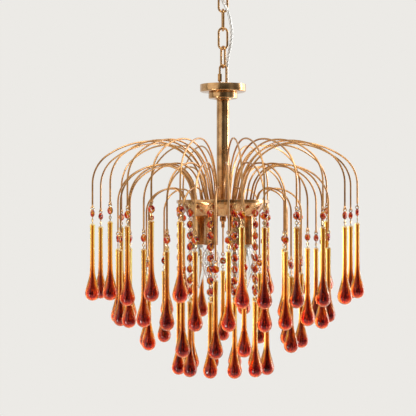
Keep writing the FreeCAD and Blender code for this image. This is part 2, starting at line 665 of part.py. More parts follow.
def lamp_parts():
    """Six candle tubes, their lampholders and the candle lamps."""
    floor = size("flange_level") - size("flange_height") - size("pan_height")
    centre = VECTOR(size("lamp_circle"), 0, floor)
    radius, wall, length = size("candle_radius"), size("candle_wall"), size("candle_length")
    tube = Part.makeCylinder(radius, length, centre, UP * -1)
    tube = tube.cut(Part.makeCylinder(radius - wall, length - 2 * wall, centre - UP * wall, UP * -1))
    mouth_radius = size("holder_radius") - size("holder_lip")
    mouth = Part.makeCylinder(mouth_radius, 4 * wall, centre - UP * (length + wall), UP)
    top_hole = Part.makeCylinder(size("thread_bore"), 6 * wall, centre - UP * 3 * wall, UP)
    tube = tube.cut(mouth).cut(top_hole)

    holder_low = length - wall - size("holder_rise")
    holder_top = holder_low - size("holder_height")
    body_radius = size("holder_radius") - size("holder_play")
    holder = Part.makeCylinder(body_radius, size("holder_height"), centre - UP * holder_low, UP)
    socket_radius = size("cap_radius") + size("socket_play")
    socket = Part.makeCylinder(socket_radius, size("socket_depth"), centre - UP * holder_low, UP)
    nipple_top = size("pan_wall") + size("nipple_height")
    nipple = Part.makeCylinder(size("thread_radius"), holder_top + nipple_top, centre - UP * holder_top, UP)
    holder = holder.fuse(nipple).removeSplitter().cut(socket)
    nut_foot, nut_height = centre + UP * size("pan_wall"), size("nipple_nut_height")
    nut = Part.makeCylinder(size("nipple_nut_radius"), nut_height, nut_foot, UP)
    nut = nut.cut(Part.makeCylinder(size("thread_bore"), nut_height, nut_foot, UP))

    cap_low = holder_low + size("cap_stand")
    cap = Part.makeCylinder(size("cap_radius"), size("cap_length"), centre - UP * cap_low, UP)
    glass_top = centre - UP * cap_low
    flange = size("cap_flange_height")
    lamp = [cap.fuse(Part.makeCylinder(size("cap_flange_radius"), flange, glass_top, UP * -1)).removeSplitter()]
    lamp.append(turned_glass(candle_outline(), glass_top - UP * flange, size("bulb_glass")))
    tubes, holders = [], []
    for number in range(LAMPS):
        azimuth = lamp_azimuth(number)
        tubes.append(round_the_axis(tube, azimuth))
        holders += [round_the_axis(holder, azimuth), round_the_axis(nut, azimuth)]
        shaped(f"candle_lamp_{number + 1}", Part.makeCompound([round_the_axis(s, azimuth) for s in lamp]))
    shaped("candle_tubes", Part.makeCompound(tubes))
    shaped("lampholders", Part.makeCompound(holders))


def candle_outline():
    """The lamp's glass from its cap to its tip: how far down, and the radius there."""
    length, widest = size("bulb_length"), size("bulb_radius")
    shape = [(0, 0.43), (0.06, 0.52), (0.2, 0.87), (0.33, 1), (0.5, 0.92), (0.7, 0.6), (0.86, 0.3),
             (0.96, 0.13)]
    return [(length * down, widest * out) for down, out in shape] + [(length, 0)]


def drop_outline():
    """The glass drop from its top to its tip: how far down, and the radius there."""
    length, widest = size("drop_length"), size("drop_radius")
    shape = [(0.01, 0.3), (0.03, 0.38), (0.07, 0.34), (0.3, 0.32), (0.55, 0.34), (0.66, 0.41), (0.74, 0.6),
             (0.8, 0.78), (0.86, 0.94), (0.905, 1), (0.955, 0.84), (0.988, 0.46)]
    return [(0, 0.16 * widest)] + [(length * down, widest * out) for down, out in shape] + [(length, 0)]


def spline_wall(points, top):
    curve = Part.BSplineCurve()
    curve.interpolate([top + VECTOR(out, 0, -down) for down, out in points])
    return curve.toShape()


def turned_solid(points, top):
    """A solid of glass turned about the vertical through top."""
    wall = spline_wall(points, top)
    tip = top - UP * points[-1][0]
    rim = top + VECTOR(points[0][1], 0, -points[0][0])
    centre = top - UP * points[0][0]
    axis, lid = Part.LineSegment(tip, centre).toShape(), Part.LineSegment(centre, rim).toShape()
    profile = Part.Wire([wall, axis, lid])
    return Part.Face(profile).revolve(top, UP, 360)


def turned_glass(points, top, wall):
    """A thin glass envelope, open at the top."""
    inner = [(down, out - wall) for down, out in points[:-1]] + [(points[-1][0] - 1.5 * wall, 0)]
    outer_curve, inner_curve = spline_wall(points, top), spline_wall(inner, top)
    tips = Part.LineSegment(top - UP * points[-1][0], top - UP * inner[-1][0]).toShape()
    rims = Part.LineSegment(top + VECTOR(inner[0][1], 0, 0), top + VECTOR(points[0][1], 0, 0)).toShape()
    profile = Part.Wire([outer_curve, tips, inner_curve, rims])
    return Part.Face(profile).revolve(top, UP, 360)


def arch(foot, peak, lift, end, eye_level, fall, foot_angle):
    """The middle line of a bent wire in the XZ plane: up and out of the plate, over, and straight down."""
    base = size("flange_level")
    psi, theta = math.radians(foot_angle), math.radians(BEND_ANGLE)
    # A straight foot and a rising arc reach the peak.
    across, up, run, climb = peak - foot, lift, math.cos(psi), math.sin(psi)
    radius_up = (across * climb - up * run) / (climb ** 2 - (1 - run) * run)
    straight = (across - radius_up * climb) / run
    # A wide arc and a tighter one turn the wire from level to plumb.
    out = end - peak
    sine, cosine = math.sin(theta), math.cos(theta)
    radius_out = (fall - (1 - cosine) * out / sine) / (cosine - (1 - cosine) * (1 - sine) / sine)
    radius_over = (out - radius_out * (1 - sine)) / sine
    slope = VECTOR(run, 0, climb)
    start = VECTOR(foot, 0, base)
    rise = start + slope * straight
    top = VECTOR(peak, 0, base + lift)
    up_centre = top - UP * radius_up
    over_centre = top - UP * radius_over
    turn = over_centre + VECTOR(sine, 0, cosine) * radius_over
    out_centre = turn - VECTOR(sine, 0, cosine) * radius_out
    plumb = out_centre + VECTOR(radius_out, 0, 0)
    bend = (math.pi / 2 - theta) / 2 + theta

    def on(centre, angle, radius):
        """The point of an arc at an angle past its top."""
        return centre + VECTOR(math.sin(angle), 0, math.cos(angle)) * radius

    eye_top = VECTOR(end, 0, eye_level + size("eye_ring"))
    edges = [
        Part.LineSegment(start - slope * size("wire_diameter"), rise).toShape(),
        Part.Arc(rise, on(up_centre, -psi / 2, radius_up), top).toShape(),
        Part.Arc(top, on(over_centre, theta / 2, radius_over), turn).toShape(),
        Part.Arc(turn, on(out_centre, bend, radius_out), plumb).toShape(),
        Part.LineSegment(plumb, eye_top).toShape(),
    ]
    return Part.Wire(edges)


def octagon(flats, depth):
    """An octagon facing along X, about the origin, at that depth."""
    radius = flats / 2 / math.cos(math.pi / 8)
    turns = [math.pi / 8 + k * math.pi / 4 for k in range(8)]
    points = [VECTOR(depth, radius * math.cos(a), radius * math.sin(a)) for a in turns]
    return Part.makePolygon(points + points[:1])


def bead_at(centre):
    """A cut octagon bead, whose tables face outwards."""
    half, edge = size("bead_depth") / 2, size("bead_edge") / 2
    sections = [
        octagon(size("bead_table"), -half), octagon(size("bead_flats"), -edge),
        octagon(size("bead_flats"), edge), octagon(size("bead_table"), half),
    ]
    return Part.makeLoft(sections, True, True).translated(centre)


def pin_loop(bead_centre):
    """The pin from a bead's top hole up to a loop over the eye above it. The loop faces sideways."""
    foot = bead_centre + UP * (size("bead_flats") / 2 - size("pin_depth"))
    middle = eye_to_pin(bead_centre.z + size("bead_drop"))
    centre = VECTOR(bead_centre.x, 0, middle)
    loop = ring(size("eye_ring"), size("pin_wire"), centre, VECTOR(0, 1, 0))
    return loop.fuse(rod(size("pin_wire") / 2, foot, centre - UP * size("eye_ring"))).removeSplitter()


def eye_to_pin(eye_level):
    """The height of a pin loop's centre, hanging in an eye."""
    return eye_level - size("eye_ring") * 2 + (size("eye_wire") + size("pin_wire")) / 2 + size("link_play")


def joining_ring(high, low, x):
    """A ring on two short pins, between a bead above and a bead or drop below."""
    middle = VECTOR(x, 0, (high + low) / 2)
    radius = min(size("eye_ring"), (high - low) / 2 - size("ring_room"))
    loop = ring(radius, size("pin_wire"), middle, VECTOR(1, 0, 0))
    wire, deep = size("pin_wire") / 2, size("pin_depth")
    upper = rod(wire, middle + UP * radius, VECTOR(x, 0, high + deep))
    lower = rod(wire, VECTOR(x, 0, low - deep), middle - UP * radius)
    return loop.fuse([upper, lower]).removeSplitter()


def pendant(radius, eye_level):
    """A pendant drawn on the X axis: pin, octagon bead, ring and glass drop."""
    bead_centre = VECTOR(radius, 0, eye_level - size("bead_drop"))
    drop_top = bead_centre - UP * size("drop_gap")
    pin = pin_loop(bead_centre)
    link = joining_ring(bead_centre.z - size("bead_flats") / 2, drop_top.z, radius)
    bead = bead_at(bead_centre).cut(pin).cut(link)
    drop = turned_solid(drop_outline(), drop_top).cut(link)
    return {"pin": pin, "bead": bead, "link": link, "drop": drop}


def tier_parts():
    """The three tiers of bent wires with their pendants. Each outer pendant is a sub-part of its own."""
    drops, beads, links = [], [], []
    under_plate = Part.makeCylinder(
        size("flange_radius"), size("cut_depth"), VECTOR(0, 0, size("flange_level")), UP * -1)
    for tier, (foot, peak, lift, end, eye_level, fall, pendants) in TIERS.items():
        wires = []
        for number, (azimuth, rise) in enumerate(pendants, start=1):
            level = eye_level + rise
            path = arch(foot, peak, lift, end, level, fall, FOOT_ANGLE[tier])
            eye = ring(size("eye_ring"), size("eye_wire"), VECTOR(end, 0, level), VECTOR(1, 0, 0))
            bar = swept(path, size("wire_diameter") / 2).cut(under_plate)
            wires.append(round_the_axis(bar.fuse(eye).removeSplitter(), azimuth))
            pieces = {k: round_the_axis(s, azimuth) for k, s in pendant(end, level).items()}
            if tier == "outer":
                shaped(f"outer_pendant_{number:02d}", Part.makeCompound(list(pieces.values())))
            else:
                drops.append(pieces["drop"])
                beads.append(pieces["bead"])
                links += [pieces["pin"], pieces["link"]]
        shaped(f"{tier}_wires", Part.makeCompound(wires))
    shaped("inner_drops", Part.makeCompound(drops))
    shaped("inner_beads", Part.makeCompound(beads))
    return links


def strand_parts(links):
    """Twelve strands of eight beads and a drop under the plate's rim, and every fixed pin and ring."""
    first, pitch, circle = size("strand_level"), size("strand_pitch"), size("strand_circle")
    rim = size("flange_level") - size("flange_height")
    hooks, beads, drops = [], [], []
    eye_level = first + size("bead_drop")
    eye = ring(size("eye_ring"), size("eye_wire"), VECTOR(circle, 0, eye_level), VECTOR(1, 0, 0))
    shank = rod(size("hook_wire") / 2, VECTOR(circle, 0, eye_level + size("eye_ring")), VECTOR(circle, 0, rim))
    if eye_level + size("eye_ring") < rim:
        hook = eye.fuse(shank).removeSplitter()
    else:
        hook = eye
    centres = [VECTOR(circle, 0, first - pitch * n) for n in range(BEADS_ON_A_STRAND)]
    half = size("bead_flats") / 2
    pins = [pin_loop(centres[0])]
    for above, below in zip(centres, centres[1:]):
        pins.append(joining_ring(above.z - half, below.z + half, circle))
    drop_top = centres[-1] - UP * size("strand_gap")
    pins.append(joining_ring(centres[-1].z - half, drop_top.z, circle))
    strand = []
    for number, centre in enumerate(centres):
        strand.append(bead_at(centre).cut(pins[number]).cut(pins[number + 1]))
    drop = turned_solid(drop_outline(), drop_top).cut(pins[-1])
    for number in range(STRANDS):
        azimuth = FIRST_STRAND + 360 / STRANDS * number
        hooks.append(round_the_axis(hook, azimuth))
        beads += [round_the_axis(b, azimuth) for b in strand]
        drops.append(round_the_axis(drop, azimuth))
        links += [round_the_axis(p, azimuth) for p in pins]
    shaped("strand_hooks", Part.makeCompound(hooks))
    shaped("strand_beads", Part.makeCompound(beads))
    shaped("strand_drops", Part.makeCompound(drops))
    shaped("fixed_pins", Part.makeCompound(links))


def checked():
    """The finished sub-parts, once none has failed."""
    doc.recompute()
    for obj in doc.Objects:
        bad = [state for state in obj.State if state in ("Invalid", "Error")]
        assert not bad, f"{obj.Label}: {bad}"
    made = [o for o in doc.RootObjects if hasattr(o, "Shape") and o.TypeId != "Spreadsheet::Sheet"]
    made = [o for o in made if not o.InList]
    for obj in made:
        assert not obj.Shape.isNull(), f"{obj.Label} has no shape"
        assert obj.Shape.isValid(), f"{obj.Label} isn't valid"
        assert obj.Shape.Volume > 0, f"{obj.Label} has no volume"
    return made


ceiling_parts()
canopy_parts()
bearing_levels = chain_parts()
cord_part()
collar_parts(bearing_levels[-1])
stem_parts()
drum_parts()
lamp_parts()
strand_parts(tier_parts())

print("bearings", [round(level, 2) for level in bearing_levels])
os.makedirs("parts", exist_ok=True)
sub_parts = checked()
for sub_part in sub_parts:
    sub_part.Shape.exportStep(f"parts/{sub_part.Label}.step")
print(len(sub_parts), "sub-parts")
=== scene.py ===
"""Dresses the crystal chandelier: brass fittings, bent wires, glass pendants, candle lamps and cord."""

import logging
import math
import random
from dataclasses import dataclass, field
from enum import Enum
from typing import Iterable, Sequence

import bmesh
import bpy
from bmesh.types import BMEdge, BMVert
from bpy.types import Material, Mesh, Node, NodeSocket, NodeTree, Object
from mathutils import Matrix, Vector
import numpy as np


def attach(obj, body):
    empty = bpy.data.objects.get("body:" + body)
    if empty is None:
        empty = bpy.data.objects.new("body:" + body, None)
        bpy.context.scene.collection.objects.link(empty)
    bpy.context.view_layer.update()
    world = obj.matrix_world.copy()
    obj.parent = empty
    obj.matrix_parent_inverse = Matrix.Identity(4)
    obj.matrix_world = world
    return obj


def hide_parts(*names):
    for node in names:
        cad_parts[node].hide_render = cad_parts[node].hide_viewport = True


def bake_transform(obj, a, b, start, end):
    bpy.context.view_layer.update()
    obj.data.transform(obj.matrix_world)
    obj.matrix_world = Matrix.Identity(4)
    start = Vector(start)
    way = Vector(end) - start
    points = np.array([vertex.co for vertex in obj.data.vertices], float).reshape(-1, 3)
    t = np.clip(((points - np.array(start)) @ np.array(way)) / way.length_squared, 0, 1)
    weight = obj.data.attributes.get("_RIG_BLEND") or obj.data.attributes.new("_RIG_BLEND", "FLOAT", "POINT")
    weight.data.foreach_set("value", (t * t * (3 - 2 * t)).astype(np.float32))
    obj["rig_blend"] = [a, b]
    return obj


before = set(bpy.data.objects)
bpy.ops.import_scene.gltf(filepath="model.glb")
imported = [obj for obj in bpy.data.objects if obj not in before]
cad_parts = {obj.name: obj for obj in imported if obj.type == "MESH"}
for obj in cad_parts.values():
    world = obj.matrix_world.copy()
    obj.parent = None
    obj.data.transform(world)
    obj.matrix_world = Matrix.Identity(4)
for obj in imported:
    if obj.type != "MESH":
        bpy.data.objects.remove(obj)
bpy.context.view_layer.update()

LOG = logging.getLogger("chandelier")
MM = 0.001
FULL_TURN = 2 * math.pi
UP = Vector((0, 0, 1))
X_AXIS = Vector((1, 0, 0))
Y_AXIS = Vector((0, 1, 0))

Outline = Sequence[tuple[float, float]]
Ramp = Sequence[tuple[float, str]]

# Sizes in mm that more than one sub-assembly needs. The heights, from the ceiling, are those of the middle of
# the ring's lowest bar, the collar's floor, the top of the wires' plate and the drum's floor.
PLAY = 0.3
RING_LEVEL = -77.6
RING_BAR = 5.0
SCREW_LINK_WIRE = 4.2
COLLAR_FLOOR = -275.0
ROD_BORE = 5.0
STEM_RADIUS = 12.75
PLATE_TOP = -491.0
PAN_FLOOR = -523.6

# Each pendant of a tier: its wire's azimuth in degrees, and how much higher than its tier it hangs in mm.
OUTER_PENDANTS = [
    (-72, 0), (-53.3, 5), (-42.2, -3), (-30, 7), (-17.5, 6), (6.7, -4), (15.6, -5), (29.6, -5), (43.4, -5),
    (59.4, -4), (82, 2), (102, -4), (124.3, 6), (141, -7), (158, -8), (176, -6), (-161.6, -9), (-145, -8),
    (-127, -7), (-109.5, -6),
]
MIDDLE_PENDANTS = [
    (-90, 0), (-73, -1), (-60, -1), (-46.2, 3), (-30.5, 0), (-14.8, 0), (2.2, 0), (20.8, -2), (33.2, 0),
    (49.2, 5), (65, -4), (85, 3), (113.4, 0), (141.3, -3), (167, 2), (-168, -2), (-146, 1), (-114.5, 0),
]
INNER_PENDANTS = [
    (-69.3, 2), (-30, -4), (-5.8, -5), (14.2, -2), (57, 0), (86, 3), (121.7, 0), (149.9, -2), (179.4, 2),
    (-129.2, 4), (-99, 0),
]


class Slot(Enum):
    """The record's material slots, handed to each new piece, which doesn't read them."""

    TURNED = "brushed_brass"
    CHAIN = "brass_chain"
    WIRE = "brass_wire"
    BEAD = "red_crystal"
    DROP = "amber_red_glass"
    LAMP = "clear_glass"
    CORD = "clear_cord"


class Grain(Enum):
    """Which way the fine lines of a worked metal run."""

    TURNED = "round the axis, from a lathe"
    DRAWN = "up and down, from a drawing die"
    ROLLED = "no one way"


def linear(tone: str) -> tuple[float, float, float, float]:
    """Turns an sRGB hex colour into linear light.

    Args:
        tone: six hexadecimal digits.

    Returns:
        Linear red, green and blue, and an alpha of 1.
    """
    parts = [int(tone[i:i + 2], 16) / 255 for i in (0, 2, 4)]
    light = [c / 12.92 if c <= 0.04045 else ((c + 0.055) / 1.055) ** 2.4 for c in parts]
    return (light[0], light[1], light[2], 1.0)


def add(tree: NodeTree, kind: str, inputs: dict | None = None, stops: Sequence = (),
        **settings: object) -> Node:
    """Adds one shader node with its settings and links.

    Args:
        tree: the material's node tree.
        kind: the node's type, such as MapRange.
        inputs: by name or number, each a value, a hex colour, a socket, or a node whose first live output
            is linked.
        stops: for a colour ramp, each position with its colour, in hex or in linear light.
        settings: the node's own properties.

    Returns:
        The new node.
    """
    node = tree.nodes.new("ShaderNode" + kind)
    for name, value in settings.items():
        setattr(node, name, value)
    for name, value in (inputs or {}).items():
        if isinstance(value, Node):
            value = next(socket for socket in value.outputs if socket.enabled)
        if isinstance(value, NodeSocket):
            tree.links.new(value, node.inputs[name])
        else:
            node.inputs[name].default_value = linear(value) if isinstance(value, str) else value
    for number, (position, colour) in enumerate(stops):
        elements = node.color_ramp.elements
        stop = elements[number] if number < 2 else elements.new(position)
        stop.position = position
        stop.color = linear(colour) if isinstance(colour, str) else colour
    return node


def linked(name: str, data: bpy.types.ID) -> Object:
    """Puts a new object into the scene.

    Args:
        name: of the object.
        data: its mesh, curve, lamp or camera.

    Returns:
        The object.
    """
    obj = bpy.data.objects.new(name, data)
    bpy.context.scene.collection.objects.link(obj)
    return obj


@dataclass(frozen=True)
class Finish:
    """What every finish has: a name, and a shader that becomes a material."""

    name: str

    def material(self) -> Material:
        """Builds the finish.

        Returns:
            The material.
        """
        material = bpy.data.materials.new(self.name)
        material.use_nodes = True
        tree = material.node_tree
        tree.nodes.clear()
        add(tree, "OutputMaterial", {"Surface": self.surface(tree)})
        return material


@dataclass(frozen=True)
class BrassFinish(Finish):
    """Lacquered, antiqued brass: bright where it is rubbed, brown where the patina stayed."""

    bright: str = "E4B67E"
    brown: str = "AE7C46"
    roughness: float = 0.2
    grain: Grain = Grain.TURNED
    line_mm: float = 0.7
    line_depth_mm: float = 0.01
    patina_mm: float = 26.0
    lacquer: float = 0.5

    def surface(self, tree: NodeTree) -> Node:
        """Builds the shader.

        Args:
            tree: the material's node tree.

        Returns:
            The shader, with patches of patina and fine tool lines in its bump and gloss.
        """
        place = add(tree, "TexCoord").outputs["Object"]
        # Real tool lines are about 0.1 mm apart. They are drawn coarser, so that they show from a step away.
        tool_lines = add(tree, "TexNoise", {
            "Vector": self._line_coordinates(tree, place), "Scale": 1 / (self.line_mm * MM), "Detail": 3.0,
            "Roughness": 0.6,
        })
        patches = add(tree, "TexNoise", {
            "Vector": place, "Scale": 1 / (self.patina_mm * MM), "Detail": 4.0, "Roughness": 0.62,
        })
        colour = add(tree, "ValToRGB", {"Fac": patches}, stops=[(0.36, self.brown), (0.6, self.bright)])
        gloss = add(tree, "MapRange", {
            "Value": tool_lines, "From Min": 0.25, "From Max": 0.75, "To Min": self.roughness - 0.06,
            "To Max": self.roughness + 0.09,
        })
        bump = add(tree, "Bump", {
            "Height": tool_lines, "Strength": 0.5, "Distance": self.line_depth_mm * MM,
        })
        return add(tree, "BsdfPrincipled", {
            "Base Color": colour, "Roughness": gloss, "Normal": bump, "Metallic": 1.0,
            "Coat Weight": self.lacquer, "Coat Roughness": 0.08,
        })

    def _line_coordinates(self, tree: NodeTree, place: NodeSocket) -> NodeSocket:
        """Stretches the coordinates so that noise makes lines along the grain.

        Args:
            tree: the material's node tree.
            place: the piece's own coordinates.

        Returns:
            The stretched coordinates.
        """
        if self.grain is Grain.ROLLED:
            return place
        if self.grain is Grain.DRAWN:
            return add(tree, "Mapping", {"Vector": place, "Scale": (1.0, 1.0, 0.02)}).outputs["Vector"]
        parts = add(tree, "SeparateXYZ", {"Vector": place}).outputs
        across = add(tree, "CombineXYZ", {"X": parts["X"], "Y": parts["Y"]})
        radius = add(tree, "VectorMath", {0: across}, operation="LENGTH")
        return add(tree, "CombineXYZ", {"X": radius, "Z": parts["Z"]}).outputs["Vector"]


@dataclass(frozen=True)
class DropGlassFinish(Finish):
    """Hand-pulled cased glass: an amber neck, burnt at its core and pale at its edges, over a ruby bulb.

    Each ramp runs from glass that faces the eye to glass that is met edge on. Its paler, brighter
    end is partly the thinner glass at the edge and partly a painted rim highlight.
    """

    name: str = "hand_pulled_amber_ruby_glass"
    lip: str = "FFF6DC"
    neck: Ramp = ((0.0, "9C4802"), (0.04, "CA7A0A"), (0.1, "FCBA38"), (0.24, "FFE48C"))
    shoulder: Ramp = ((0.0, "5A0805"), (0.07, "9C2A05"), (0.17, "E46A0A"), (0.36, "FFBE4C"))
    bulb: Ramp = ((0.0, "4A0306"), (0.12, "8C0A0A"), (0.27, "D02C0C"), (0.52, "FF8A3C"))
    warmth: str = "FFB45C"
    # Painted highlight: the bright red-orange that the bulb's strong streaks take.
    streak_highlight: str = "F04A14"
    leaving: str = "FFF4E4"
    lip_to: float = 0.03
    warms_from: float = 0.2
    swells: tuple[float, float] = (0.54, 0.72)
    ripens: tuple[float, float] = (0.74, 0.9)
    streak_mm: float = 2.2
    relief_mm: float = 0.5

    def surface(self, tree: NodeTree) -> Node:
        """Builds the shader.

        Args:
            tree: the material's node tree.

        Returns:
            The shader, which reads how far down the drop a point lies, and each drop's own tint.
        """
        along = add(tree, "Attribute", attribute_name="along").outputs["Fac"]
        swell, ripe = (add(tree, "MapRange", {"Value": along, "From Min": low, "From Max": high},
                           interpolation_type="SMOOTHSTEP") for low, high in (self.swells, self.ripens))
        # The streaks in the bulb are finer in the real glass. They are drawn coarser, so that they show.
        # They give a slight relief, and where they are strong a painted highlight.
        tall = add(tree, "Mapping", {
            "Vector": add(tree, "TexCoord").outputs["Object"], "Scale": (1.0, 1.0, 0.12),
        })
        streaks = add(tree, "TexNoise", {
            "Vector": tall, "Scale": 1 / (self.streak_mm * MM), "Detail": 1.0,
        }).outputs["Fac"]
        clear = add(tree, "MapRange", {"Value": swell, "To Min": 0.95, "To Max": 0.85})
        uneven = add(tree, "MapRange", {"Value": swell, "To Min": 0.03, "To Max": 0.3})
        bump = add(tree, "Bump", {"Height": streaks, "Strength": uneven, "Distance": self.relief_mm * MM})
        return add(tree, "BsdfPrincipled", {
            "Base Color": self._entered(tree, self._tone(tree, along, swell, ripe, streaks)), "Normal": bump,
            "Roughness": 0.02, "IOR": 1.5, "Specular IOR Level": 0.25, "Transmission Weight": clear,
        })

    def _tone(self, tree: NodeTree, along: NodeSocket, swell: Node, ripe: Node,
              streaks: NodeSocket) -> Node:
        """Runs the colours down the drop, from the lip through neck and shoulder to the streaked bulb.

        Args:
            tree: the material's node tree.
            along: how far down the drop a point lies.
            swell: how far the neck has become the shoulder.
            ripe: how far the shoulder has become the bulb.
            streaks: the noise of the streaks.

        Returns:
            The drop's colour.
        """
        # Paler and brighter towards the edges: partly the thinner glass there, partly a painted rim
        # highlight.
        edge = add(tree, "LayerWeight", {"Blend": 0.5}).outputs["Facing"]
        necks, shoulders, bulbs = (add(tree, "ValToRGB", {"Fac": edge}, stops=tones)
                                   for tones in (self.neck, self.shoulder, self.bulb))
        begun = add(tree, "MapRange", {"Value": along, "From Max": self.lip_to})
        deeper = add(tree, "MapRange", {
            "Value": along, "From Min": self.warms_from, "From Max": self.swells[1], "To Max": 0.9,
        })
        warmed = add(tree, "Mix", {0: deeper, 6: necks, 7: self.warmth}, data_type="RGBA",
                     blend_type="MULTIPLY")
        # Painted highlight: where the streak noise is high, the bulb turns bright red-orange.
        highlight_share = add(tree, "MapRange", {"Value": streaks, "From Min": 0.5, "From Max": 0.68, "To Max": 0.6})
        streaked = add(tree, "Mix", {0: highlight_share, 6: bulbs, 7: self.streak_highlight}, data_type="RGBA")
        colour = self.lip
        for share, below in ((begun, warmed), (swell, shoulders), (ripe, streaked)):
            colour = add(tree, "Mix", {0: share, 6: colour, 7: below}, data_type="RGBA")
        return colour

    def _entered(self, tree: NodeTree, colour: Node) -> Node:
        """Gives light its tint where it enters the glass, and leaves it almost unchanged where it comes out.

        The shader shares a tint out over both faces, so that the entering face gets it twice.

        Args:
            tree: the material's node tree.
            colour: the drop's colour.

        Returns:
            The colour of the face.
        """
        tint = add(tree, "Attribute", attribute_name="tint").outputs["Fac"]
        shade = add(tree, "MapRange", {"Value": tint, "To Min": 0.75, "To Max": 1.2})
        toned = add(tree, "HueSaturation", {"Color": colour, "Value": shade})
        double = add(tree, "Mix", {0: 1.0, 6: toned, 7: toned}, data_type="RGBA", blend_type="MULTIPLY")
        back = add(tree, "NewGeometry").outputs["Backfacing"]
        return add(tree, "Mix", {0: back, 6: double, 7: self.leaving}, data_type="RGBA")


@dataclass(frozen=True)
class CrystalFinish(Finish):
    """Cut and polished red amber lead crystal, whose facets each take a painted reflection of its own."""

    name: str = "cut_red_amber_crystal"
    # Painted reflections: the tones that the facets take, one each.
    tones: Ramp = (
        (0.0, "380204"), (0.17, "960906"), (0.34, "E02808"), (0.58, "FF6410"), (0.78, "FFB434"),
        (0.94, "FFF6DC"),
    )
    shift: float = 7.0

    def surface(self, tree: NodeTree) -> Node:
        """Builds the shader.

        Args:
            tree: the material's node tree.

        Returns:
            The shader, whose tone jumps from facet to facet, another way in each bead.
        """
        facet = add(tree, "Attribute", attribute_name="facet").outputs["Fac"]
        tint = add(tree, "Attribute", attribute_name="tint").outputs["Fac"]
        mixed = add(tree, "Math", {0: tint, 1: self.shift, 2: facet}, operation="MULTIPLY_ADD")
        share = add(tree, "Math", {0: mixed}, operation="FRACT")
        colour = add(tree, "ValToRGB", {"Fac": share}, stops=self.tones)
        colour.color_ramp.interpolation = "CONSTANT"
        return add(tree, "BsdfPrincipled", {
            "Base Color": colour, "Roughness": 0.02, "IOR": 1.6, "Specular IOR Level": 0.22,
            "Transmission Weight": 0.35,
        })


@dataclass(frozen=True)
class PlainFinish(Finish):
    """A finish of one material with a faint mottle: clear glass, plastic, plated steel or glazed ceramic."""

    tone: str
    shade: str
    roughness: float
    metallic: float = 0.0
    transmission: float = 0.0
    mottle_mm: float = 6.0
    relief_mm: float = 0.02

    def surface(self, tree: NodeTree) -> Node:
        """Builds the shader.

        Args:
            tree: the material's node tree.

        Returns:
            The shader, with its mottle in the colour, the gloss and a slight bump.
        """
        mottle = add(tree, "TexNoise", {
            "Vector": add(tree, "TexCoord").outputs["Object"], "Scale": 1 / (self.mottle_mm * MM),
            "Detail": 3.0,
        })
        colour = add(tree, "ValToRGB", {"Fac": mottle}, stops=[(0.35, self.shade), (0.65, self.tone)])
        gloss = add(tree, "MapRange", {
            "Value": mottle, "To Min": self.roughness * 0.8, "To Max": self.roughness * 1.25,
        })
        bump = add(tree, "Bump", {"Height": mottle, "Strength": 0.3, "Distance": self.relief_mm * MM})
        return add(tree, "BsdfPrincipled", {
            "Base Color": colour, "Roughness": gloss, "Normal": bump, "Metallic": self.metallic, "IOR": 1.5,
            "Transmission Weight": self.transmission,
        })


@dataclass(frozen=True)
class CordFinish(Finish):
    """Clear PVC sheath over twisted tinned wires: silver strands, with painted shade between them."""

    name: str = "clear_sheathed_twisted_cord"
    strand: str = "FBFAF6"
    # Painted shade: the darker tone in the gaps between the strands.
    gap: str = "ABA69C"
    strands: int = 3
    lay_mm: float = 27.0
    relief_mm: float = 0.4

    def surface(self, tree: NodeTree) -> Node:
        """Builds the shader.

        Args:
            tree: the material's node tree.

        Returns:
            The shader, whose strands wind on from stretch to stretch: each point knows which way it lies
            from the cord's middle line, and how far down the cord it is.
        """
        wound = add(tree, "Attribute", attribute_name="wound").outputs["Vector"]
        parts = add(tree, "SeparateXYZ", {"Vector": wound}).outputs
        angle = add(tree, "Math", {0: parts["Y"], 1: parts["X"]}, operation="ARCTAN2")
        around_cord = add(tree, "Math", {0: angle, 1: float(self.strands)}, operation="MULTIPLY")
        turn = add(tree, "Math", {
            0: parts["Z"], 1: FULL_TURN * self.strands / (self.lay_mm * MM), 2: around_cord,
        }, operation="MULTIPLY_ADD")
        wave = add(tree, "Math", {0: turn}, operation="COSINE")
        strands = add(tree, "MapRange", {"Value": wave, "From Min": -1.0, "From Max": 0.1})
        colour = add(tree, "ValToRGB", {"Fac": strands}, stops=[(0.0, self.gap), (0.8, self.strand)])
        bump = add(tree, "Bump", {"Height": strands, "Strength": 0.5, "Distance": self.relief_mm * MM})
        return add(tree, "BsdfPrincipled", {
            "Base Color": colour, "Normal": bump, "Roughness": 0.3, "Metallic": 0.2, "IOR": 1.53,
            "Coat Weight": 0.9, "Coat Roughness": 0.06,
        })


@dataclass(frozen=True)
class PlasterFinish(Finish):
    """Pale matt plaster, clear from below, that fades into the room so that its edge doesn't show."""

    tone: str
    fades: tuple[float, float] = (1.2, 4.5)

    def surface(self, tree: NodeTree) -> Node:
        """Builds the shader.

        Args:
            tree: the material's node tree.

        Returns:
            The shader, which turns clear with the distance in metres from the floor's middle.
        """
        place = add(tree, "TexCoord").outputs["Object"]
        reach = add(tree, "VectorMath", {0: place}, operation="LENGTH")
        fade = add(tree, "MapRange", {"Value": reach, "From Min": self.fades[0], "From Max": self.fades[1]},
                   interpolation_type="SMOOTHSTEP")
        back = add(tree, "NewGeometry").outputs["Backfacing"]
        unseen = add(tree, "Math", {0: fade, 1: back}, operation="MAXIMUM")
        plaster = add(tree, "BsdfDiffuse", {"Color": self.tone})
        return add(tree, "MixShader", {0: unseen, 1: plaster, 2: add(tree, "BsdfTransparent")})


